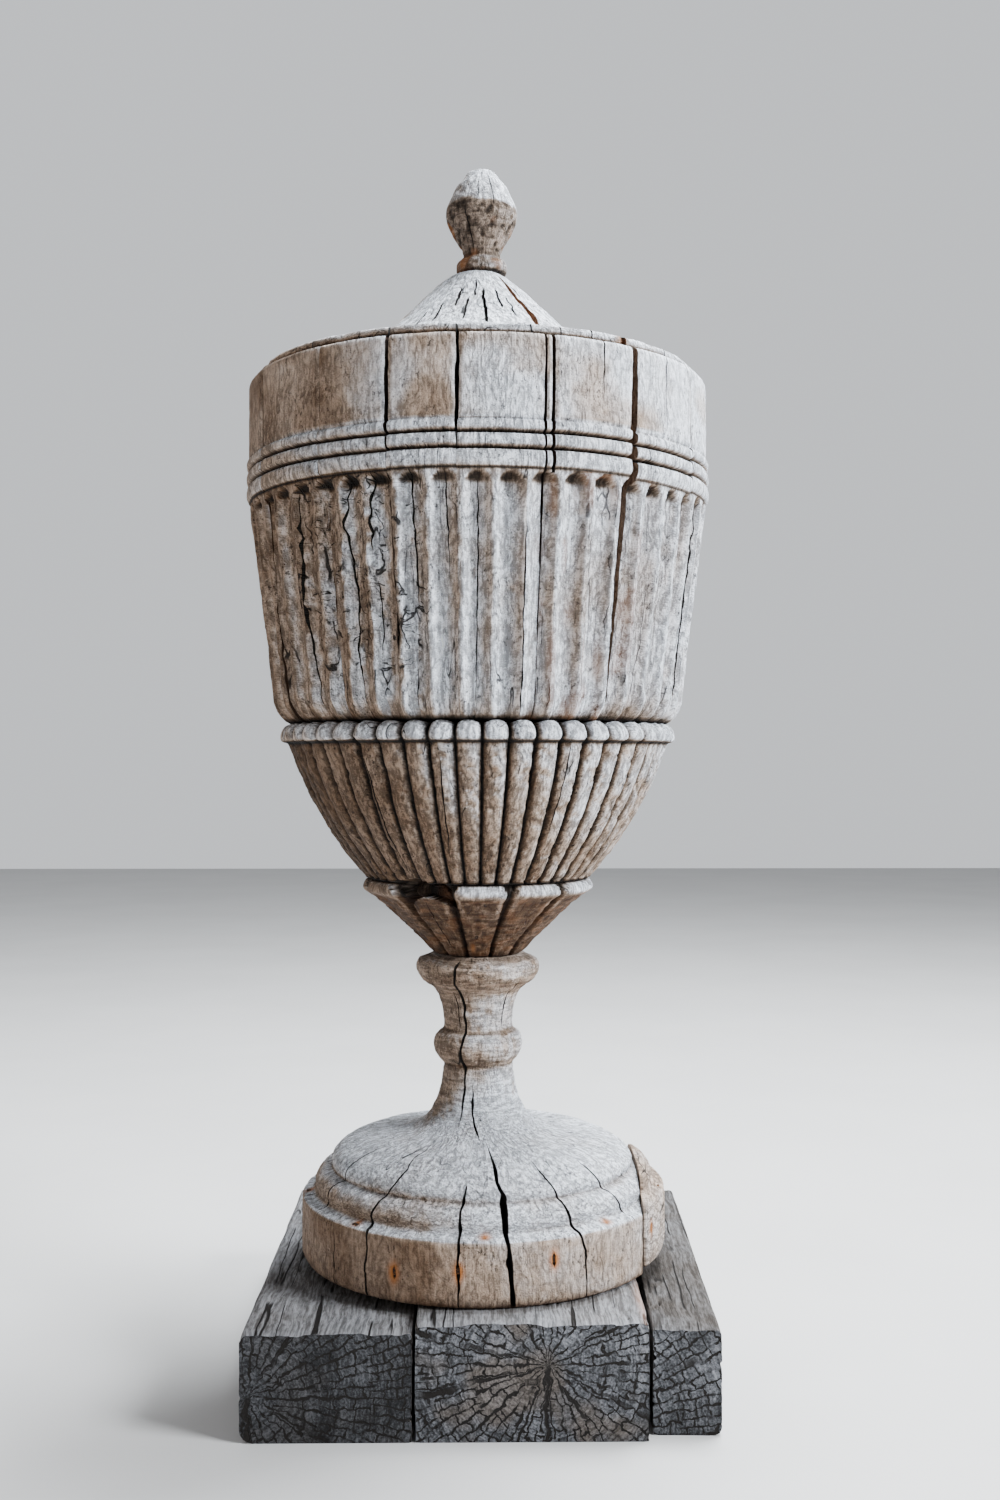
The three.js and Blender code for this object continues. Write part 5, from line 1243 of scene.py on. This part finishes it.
def finial_grid(sizes):
    """Finial: a ring, a neck and an acorn, turned; bleached above its widest line, dark and deeply pitted
    below it. A pit is as deep as noise rises past a level."""
    r, z, s, part = profile((FINIAL, 1.15))
    base = np.linspace(-math.pi, math.pi, 170, endpoint=False)
    cracks = [(-25.0, [(946, 2), (1000, -2)], [(962, 0), (970, 1.0), (996, 1.1), (1004, 0)], 4),
              (20.0, [(970, 3), (1030, -2)], [(1000, 0), (1006, 0.8), (1026, 0.8), (1032, 0)], 3),
              (-6.0, [(1000, 1), (1030, -1)], [(1004, 0), (1010, 0.7), (1022, 0.7), (1027, 0)], 3),
              (150.0, [], [(965, 0), (972, 1.2), (1020, 1.0), (1030, 0)], 4)]
    angles, crack, _, own = crack_grid(base, z / MM, part == 0, np.maximum(r, 14 * MM), cracks)
    rr, zz = spread(r, angles.shape[1]), spread(z, angles.shape[1])
    lay = lay_of(angles, s, 26)
    p = polar(rr, angles, zz, FINIAL_X)
    n = normals(p)
    edge = zz + 2.2 * MM * noise(p, [12 * MM] * 3, 91) + 1.2 * MM * noise(p, [3 * MM] * 3, 94)
    under = 1 - smooth(1002.5 * MM, 1007 * MM, edge)
    pits = np.clip(noise(p, [4.2 * MM, 4.2 * MM, 4.8 * MM], 92) - 0.05, 0, 1) * 2.6 * MM
    pits += np.clip(noise(p, [7 * MM, 7 * MM, 3.4 * MM], 93) - 0.15, 0, 1) * 2.0 * MM
    ringed = 1 - smooth(960 * MM, 964 * MM, zz)
    pits = pits * (0.16 + 0.84 * under) * (1 - 0.6 * ringed)
    fade = smooth(946 * MM, 947 * MM, zz) * (1 - smooth(1037.5 * MM, 1039 * MM, zz))
    relief = np.clip(0.6 * weathering(p, 90) * sizes.wear, -1.5 * MM, 0.2 * MM)
    p = p + n * ((relief - pits) * fade - crack)[..., None]
    # Painted shade in the pits under the cap and in the creases at the neck and at the foot
    hollow = np.clip(pits / (1.5 * MM), 0, 1) * 0.75 * under + lipped(crack) / (1.4 * MM)
    hollow = hollow + 0.4 * bell(zz - 961 * MM, 3 * MM) + 0.5 * bell(zz - 946.5 * MM, 1.2 * MM)
    bleach = lit_and_bleached(p, own, relief) * (1 - 0.62 * under) + 0.25 * (1 - under) + 0.16 * ringed
    stain = smooth(0.25, 0.6, noise(p, [9 * MM] * 3, 95)) * under * 0.5
    left = bell(np.degrees(angles) + 65, 30)
    stain = stain * (0.4 + 0.6 * left) + 0.25 * left * ringed
    rings = 0.5 * under + 0.2 * (1 - under)
    marks = {"hollow": np.clip(hollow, 0, 0.95), "bleach": np.clip(bleach, 0, 1), "checks": 0.15 + 0 * zz,
             "rust": stain, "rings": rings}
    return p, lay, marks


# Plinth

def timber_loop(box, corners, step):
    """Outline of a timber's section, with its own radius at each corner: bottom left, top left, top right,
    bottom right. Also the way out from each point, square to its side, and the section's middle. A point near
    a corner is drawn to its radius about the corner's centre."""
    (x0, _, z0), (x1, _, z1) = box
    width, height = x1 - x0, z1 - z0
    top = np.linspace(x0, x1, max(8, int(width / step)), endpoint=False)
    side = np.linspace(z0, z1, max(8, int(height / step)), endpoint=False)
    bottom = np.linspace(x1, x0, max(8, int(width / step / 3)), endpoint=False)
    down = side[::-1] + height / len(side)
    loop = np.concatenate([np.stack([0 * side + x0, side], -1), np.stack([top, 0 * top + z1], -1),
                           np.stack([0 * side + x1, down], -1), np.stack([bottom, 0 * bottom + z0], -1)])
    middle = np.array([(x0 + x1) / 2, (z0 + z1) / 2])
    d = loop - middle
    quarter = np.where(d[:, 0] < 0, np.where(d[:, 1] < 0, 0, 1), np.where(d[:, 1] < 0, 3, 2))
    radius = np.array(corners)[quarter][:, None] * MM
    inner = np.array([width / 2, height / 2]) - radius
    near = np.clip(d, -inner, inner)
    out = d - near
    length = np.linalg.norm(out, axis=1, keepdims=True)
    loop = middle + near + np.where(length > radius, out / np.maximum(length, 1e-9) * radius, out)
    return loop, out / np.maximum(length, 1e-9), middle


def timber_grid(box, corners, seed, wear, shade):
    """A sawn timber: its outline carried from front to back, its front edge worn. Furrows lie where noise
    drawn out along its length is at its middle value, bell(noise, 0.09). Shade darkens the whole length."""
    (_, y0, _), (_, y1, _) = box
    loop, out, middle = timber_loop(box, corners, 1.7 * MM)
    length = (y1 - y0) / MM
    # Rows are close together at the worn front edge and far apart under and behind the foot
    rows = np.concatenate([[0, 0.9, 2.0, 3.4, 5.2, 7.6], np.linspace(10.5, 205, 58),
                           np.linspace(214, length - 4, 14), [length - 1.5, length]]) * MM
    x, z = (np.repeat(v[None], len(rows), 0) for v in loop.T)
    out_x, out_z = (np.repeat(v[None], len(rows), 0) for v in out.T)
    y = spread(y0 + rows, len(loop))
    p = np.stack([x, y, z], -1)
    lay = np.stack([x, z, y + seed], -1)
    away = np.stack([out_x, 0 * x, out_z], -1)
    on_top = np.clip(away[..., 2], 0, 1)
    floor = away[..., 2] < -0.7
    bend = lay + np.array([4 * MM, 0, 0]) * noise(lay, [60 * MM] * 3, seed + 6)[..., None]
    grain = noise(bend, [5.5 * MM, 5.5 * MM, 100 * MM], seed)
    grain = grain + 0.5 * noise(bend, [2.8 * MM, 2.8 * MM, 50 * MM], seed + 1)
    furrow = bell(grain, 0.09) * smooth(0.1, 0.5, noise(bend, [18 * MM, 18 * MM, 90 * MM], seed + 9))
    soft = layered(p, [40 * MM, 60 * MM, 40 * MM], 2, seed + 2)
    fine = noise(bend, [3 * MM, 3 * MM, 24 * MM], seed + 4)
    cut = (0.8 * np.clip(-soft, 0, 1) + 2.5 * furrow + 0.35 * (1 + fine)) * MM * wear
    ragged = 0.5 + noise(p, [26 * MM, 60 * MM, 26 * MM], seed + 3) + 0.5 * noise(p, [7 * MM] * 3, seed + 5)
    worn = bell(y - y0, 5.5 * MM) * np.clip(ragged, 0, 1.6) * 1.9 * MM
    p = p - away * ((cut + worn * (on_top > 0)) * ~floor)[..., None]
    # Tops painted paler, painted light as well as weathering, and paler still along the worn front edge
    bleach = 0.5 * on_top + 0.4 * on_top * bell(y - y0, 9 * MM)
    # Painted shadow under and just round the foot, painted shade in the furrows, and a rust streak on the right
    # timber
    foot_shadow = np.hypot(x, y - CENTRE_Y) < 163 * MM
    hollow = np.clip(0.8 * furrow, 0, 1) + 0.25 * foot_shadow * on_top + shade
    stain = on_top * 0.35 * bell(x - 126 * MM, 3.5 * MM) * bell(y + 150 * MM, 45 * MM)
    marks = {"hollow": np.clip(hollow, 0, 1), "bleach": bleach, "checks": 0 * y, "rust": stain,
             "rings": 0 * y}
    return p, lay, marks, middle


def timber_end(ring, middle, pith, seed, sign, warm, dim=0.0):
    """An end face as rings that shrink from the timber's outline to its middle, its lay the place about the
    pith. Warm is how brown its patches are, and dim how much darker it is."""
    centre = np.array([middle[0], ring[:, 1].mean(), middle[1]])
    share = np.concatenate([[0.997, 0.985, 0.96], np.linspace(0.92, 0.06, 12)])
    rings = centre + (ring[None] - centre) * share[:, None, None]
    lay = np.stack([rings[..., 0] - pith[0], rings[..., 2] - pith[1], 0 * rings[..., 0] + seed * 0.01], -1)
    none = 0 * rings[..., 0]
    dish = 0.5 * MM * (1 + noise(rings, [15 * MM] * 3, seed + 7)) * smooth(1, 0.9, share)[:, None]
    rings[..., 1] += sign * (dish + 0.2 * MM)
    marks = {"hollow": dim + none, "bleach": warm + none, "checks": none, "rust": none, "rings": none}
    return rings, lay, marks


def timber_piece(node, pith, corners, seed, finish, wear, warm=0.0, dim=0.0, turn=0.0, box=None, shade=0.0):
    """One timber: its length and both ends, turned about its front left corner if it is splayed. Warm and dim
    are its front end's, shade its length's, and the box is the frame's unless one is given."""
    low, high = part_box(node)
    box = box or ((low.x, low.y, low.z), (high.x, high.y, high.z))
    p, lay, marks, middle = timber_grid(box, corners, seed, wear, shade)
    front = timber_end(p[0], middle, pith, seed, 1, warm, dim)
    back = timber_end(p[-1], middle, pith, seed + 500, -1, 0.0)
    whole = np.concatenate([front[0][::-1], p, back[0]], 0)
    whole_lay = np.concatenate([front[1][::-1], lay, back[1]], 0)
    full = {k: np.concatenate([front[2][k][::-1], marks[k], back[2][k]], 0) for k in marks}
    if turn:
        c, s = math.cos(turn), math.sin(turn)
        origin = np.array([box[0][0], box[0][1], 0])
        q = whole - origin
        x, y, z = q[..., 0], q[..., 1], q[..., 2]
        whole = origin + np.stack([c * x - s * y, s * x + c * y, z], -1)
    name = node.replace("timber_", "")
    piece = turned_piece(name, whole, whole_lay, full, finish["plinth"], "plinth_timber", [node])
    piece.data.materials.append(finish["end"])
    rows, columns = whole.shape[:2]
    ends = len(front[0])
    # The faces of the end rings, and the two fans that close them, have the ends' finish
    row = np.repeat(np.arange(rows - 1), columns)
    row = np.concatenate([row, np.zeros(columns, int), np.full(columns, rows)])
    index = ((row < ends) | (row >= rows - ends - 1)).astype(np.int32)
    piece.data.polygons.foreach_set("material_index", index)


# Operators

class URN_OT_plinth(bpy.types.Operator):
    """Adds the three plinth timbers with furrowed tops and checked ends"""

    bl_idname = "urn.plinth"
    bl_label = "Plinth timbers"
    bl_options = {"REGISTER", "UNDO"}

    def execute(self, context):
        sizes, finish = context.scene.urn_sizes, finishes()
        timber_piece("plinth_timber_left", (-172.7 * MM, 39.5 * MM), (11, 6, 2, 2), 11, finish, sizes.wear,
                     warm=0.25, dim=0.57)
        timber_piece("plinth_timber_middle", (55.6 * MM, 64.6 * MM), (2, 2.5, 2.5, 2), 29, finish, sizes.wear,
                     warm=1.0)
        # The right timber is splayed: it is made straight at its own size, then turned
        low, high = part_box("plinth_timber_right")
        splay = math.radians(1.6)
        width, length = 53.5 * MM, 377 * MM
        front = low.y + width * math.sin(splay)
        box = ((low.x, front, low.z), (low.x + width, front + length, high.z))
        timber_piece("plinth_timber_right", (low.x - 70 * MM, 5 * MM), (3, 2.5, 5, 7), 37, finish, sizes.wear,
                     dim=0.14, turn=-splay, box=box, shade=0.4)
        return {"FINISHED"}


class URN_OT_foot(bpy.types.Operator):
    """Adds the turned foot with its splits, and the board come loose from its side"""

    bl_idname = "urn.foot"
    bl_label = "Foot"
    bl_options = {"REGISTER", "UNDO"}

    def execute(self, context):
        sizes, finish = context.scene.urn_sizes, finishes()
        turned_piece("foot_turned", *foot_grid(sizes), finish["urn"], "silvered_pine", ["foot"])
        p, lay, marks = side_board_grid(sizes)
        make_board(p, lay, marks, finish["urn"])
        return {"FINISHED"}


class URN_OT_bowl(bpy.types.Operator):
    """Adds the bowl with its leaves, reeds and beads, hollow inside"""

    bl_idname = "urn.bowl"
    bl_label = "Bowl"
    bl_options = {"REGISTER", "UNDO"}

    def execute(self, context):
        sizes, finish = context.scene.urn_sizes, finishes()
        turned_piece("bowl_carved", *bowl_grid(sizes), finish["urn"], "silvered_pine", ["bowl"])
        return {"FINISHED"}


class URN_OT_drum(bpy.types.Operator):
    """Adds the staves of the drum and the slip let into one joint"""

    bl_idname = "urn.drum"
    bl_label = "Drum"
    bl_options = {"REGISTER", "UNDO"}

    def execute(self, context):
        sizes, finish = context.scene.urn_sizes, finishes()
        joints = joint_angles()
        for n in range(STAVES):
            node = f"drum_stave_{n + 1:02d}"
            make_stave(f"stave_{n + 1:02d}", n, sizes, joints, finish["urn"], node)
        make_stave("filler_slip", SLIP_STAVE, sizes, joints, finish["slip"], "drum_filler_slip",
                   slip=True)
        return {"FINISHED"}


class URN_OT_lid(bpy.types.Operator):
    """Adds the lid with its opened split and checks"""

    bl_idname = "urn.lid"
    bl_label = "Lid"
    bl_options = {"REGISTER", "UNDO"}

    def execute(self, context):
        sizes, finish = context.scene.urn_sizes, finishes()
        turned_piece("lid_turned", *lid_grid(sizes), finish["urn"], "silvered_pine", ["lid"])
        return {"FINISHED"}


class URN_OT_finial(bpy.types.Operator):
    """Adds the pitted finial"""

    bl_idname = "urn.finial"
    bl_label = "Finial"
    bl_options = {"REGISTER", "UNDO"}

    def execute(self, context):
        sizes, finish = context.scene.urn_sizes, finishes()
        turned_piece("finial_turned", *finial_grid(sizes), finish["finial"], "finial_wood", ["finial"])
        return {"FINISHED"}


class URN_OT_nails(bpy.types.Operator):
    """Gives the cut nails their rusted finish"""

    bl_idname = "urn.nails"
    bl_label = "Nails"
    bl_options = {"REGISTER", "UNDO"}

    def execute(self, context):
        g = Graph("rusted_iron")
        here = g.node("ShaderNodeTexCoord").outputs["Object"]
        spots = g.remap(g.grainy(here, 900.0), 0.5, 0.75)
        colour = g.blend(spots, four((0.025, 0.016, 0.012)), four(context.scene.urn_colours.rust))
        material = g.finish(colour, g.bump(spots, 0.5, 0.0005), 0.9)
        for name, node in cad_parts.items():
            if "nail" in name:
                node.data.materials.clear()
                node.data.materials.append(material)
        return {"FINISHED"}


def area_light(name, place, target, size, power, colour):
    """A square soft light at a place, turned to face a target."""
    light = bpy.data.lights.new(name, "AREA")
    light.shape = "SQUARE"
    light.size = size
    light.energy = power
    light.color = colour
    holder = bpy.data.objects.new(name, light)
    bpy.context.scene.collection.objects.link(holder)
    holder.location = place
    direction = np.array(target) - np.array(place)
    flat = math.hypot(direction[0], direction[1])
    holder.rotation_euler = (math.atan2(flat, -direction[2]), 0, math.atan2(-direction[0], direction[1]))


class URN_OT_stage(bpy.types.Operator):
    """Adds the camera, the plain pale floor and the soft studio light"""

    bl_idname = "urn.stage"
    bl_label = "Stage"
    bl_options = {"REGISTER", "UNDO"}

    def execute(self, context):
        camera = bpy.data.cameras.new("camera")
        camera.sensor_width = 36
        camera.lens = 36
        holder = bpy.data.objects.new("camera", camera)
        holder.location = (0, CENTRE_Y - 1.3245, 0.5151)
        holder.rotation_euler = (math.radians(90.497), 0, math.radians(-0.6875))
        scene = context.scene
        scene.collection.objects.link(holder)
        scene.camera = holder
        side = 6.0
        mesh = bpy.data.meshes.new("floor")
        corners = [(-side, -side, 0), (side, -side, 0), (side, side, 0), (-side, side, 0)]
        mesh.from_pydata(corners, [], [(0, 1, 2, 3)])
        g = Graph("floor_pale")
        here = g.node("ShaderNodeTexCoord").outputs["Object"]
        pale = four(scene.urn_colours.floor)
        tint = g.blend(g.remap(g.grainy(here, 3.0), 0.3, 0.7), pale, four(scene.urn_colours.floor, 0.95))
        mesh.materials.append(g.finish(tint, g.bump(g.grainy(here, 200.0), 0.1, 0.001), 0.7))
        floor = bpy.data.objects.new("floor", mesh)
        scene.collection.objects.link(floor)
        area_light("key", (2.3, -1.15, 1.9), (0, 0, 0.6), 0.9, 178, (0.93, 0.965, 1.0))
        area_light("top", (0.6, 0.5, 2.7), (0, 0, 0.5), 1.2, 248, (0.92, 0.965, 1.0))
        area_light("fill", (-2.2, -1.4, 0.9), (0, 0, 0.5), 2.0, 10, (1.0, 0.87, 0.76))
        scene.world = studio_world()
        return {"FINISHED"}


def studio_world():
    """Plain light all round, brightest behind the object as from a pale wall."""
    world = bpy.data.worlds.new("studio")
    world.use_nodes = True
    tree = world.node_tree
    back = tree.nodes["Background"]
    direction = tree.nodes.new("ShaderNodeTexCoord").outputs["Generated"]
    split = tree.nodes.new("ShaderNodeSeparateXYZ")
    tree.links.new(direction, split.inputs[0])
    level = tree.nodes.new("ShaderNodeMapRange")
    level.interpolation_type = "SMOOTHSTEP"
    for name, value in (("From Min", -0.1), ("From Max", 0.8), ("To Min", 0.26), ("To Max", 0.85)):
        level.inputs[name].default_value = value
    tree.links.new(split.outputs[1], level.inputs["Value"])
    tree.links.new(level.outputs[0], back.inputs["Strength"])
    back.inputs["Color"].default_value = (0.93, 0.96, 1.0, 1.0)
    return world


class URN_PT_panel(bpy.types.Panel):
    """Lists the steps that build the urn"""

    bl_idname = "URN_PT_panel"
    bl_label = "Weathered urn"
    bl_space_type = "VIEW_3D"
    bl_region_type = "UI"
    bl_category = "Urn"

    def draw(self, context):
        for settings in (context.scene.urn_sizes, context.scene.urn_colours):
            for name in settings.bl_rna.properties.keys():
                if name not in {"rna_type", "name"}:
                    self.layout.prop(settings, name)
        for step in STEPS:
            self.layout.operator(step.bl_idname)


STEPS = (URN_OT_stage, URN_OT_plinth, URN_OT_foot, URN_OT_bowl, URN_OT_drum, URN_OT_lid, URN_OT_finial,
         URN_OT_nails)
CLASSES = (UrnSizes, UrnColours) + STEPS + (URN_PT_panel,)


def register():
    for made in CLASSES:
        bpy.utils.register_class(made)
    bpy.types.Scene.urn_sizes = bpy.props.PointerProperty(type=UrnSizes)
    bpy.types.Scene.urn_colours = bpy.props.PointerProperty(type=UrnColours)


def unregister():
    del bpy.types.Scene.urn_colours
    del bpy.types.Scene.urn_sizes
    for made in reversed(CLASSES):
        bpy.utils.unregister_class(made)


def main():
    register()
    bpy.ops.urn.stage()
    bpy.ops.urn.plinth()
    bpy.ops.urn.foot()
    bpy.ops.urn.bowl()
    bpy.ops.urn.drum()
    bpy.ops.urn.lid()
    bpy.ops.urn.finial()
    bpy.ops.urn.nails()
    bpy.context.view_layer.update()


if __name__ == "__main__":
    main()
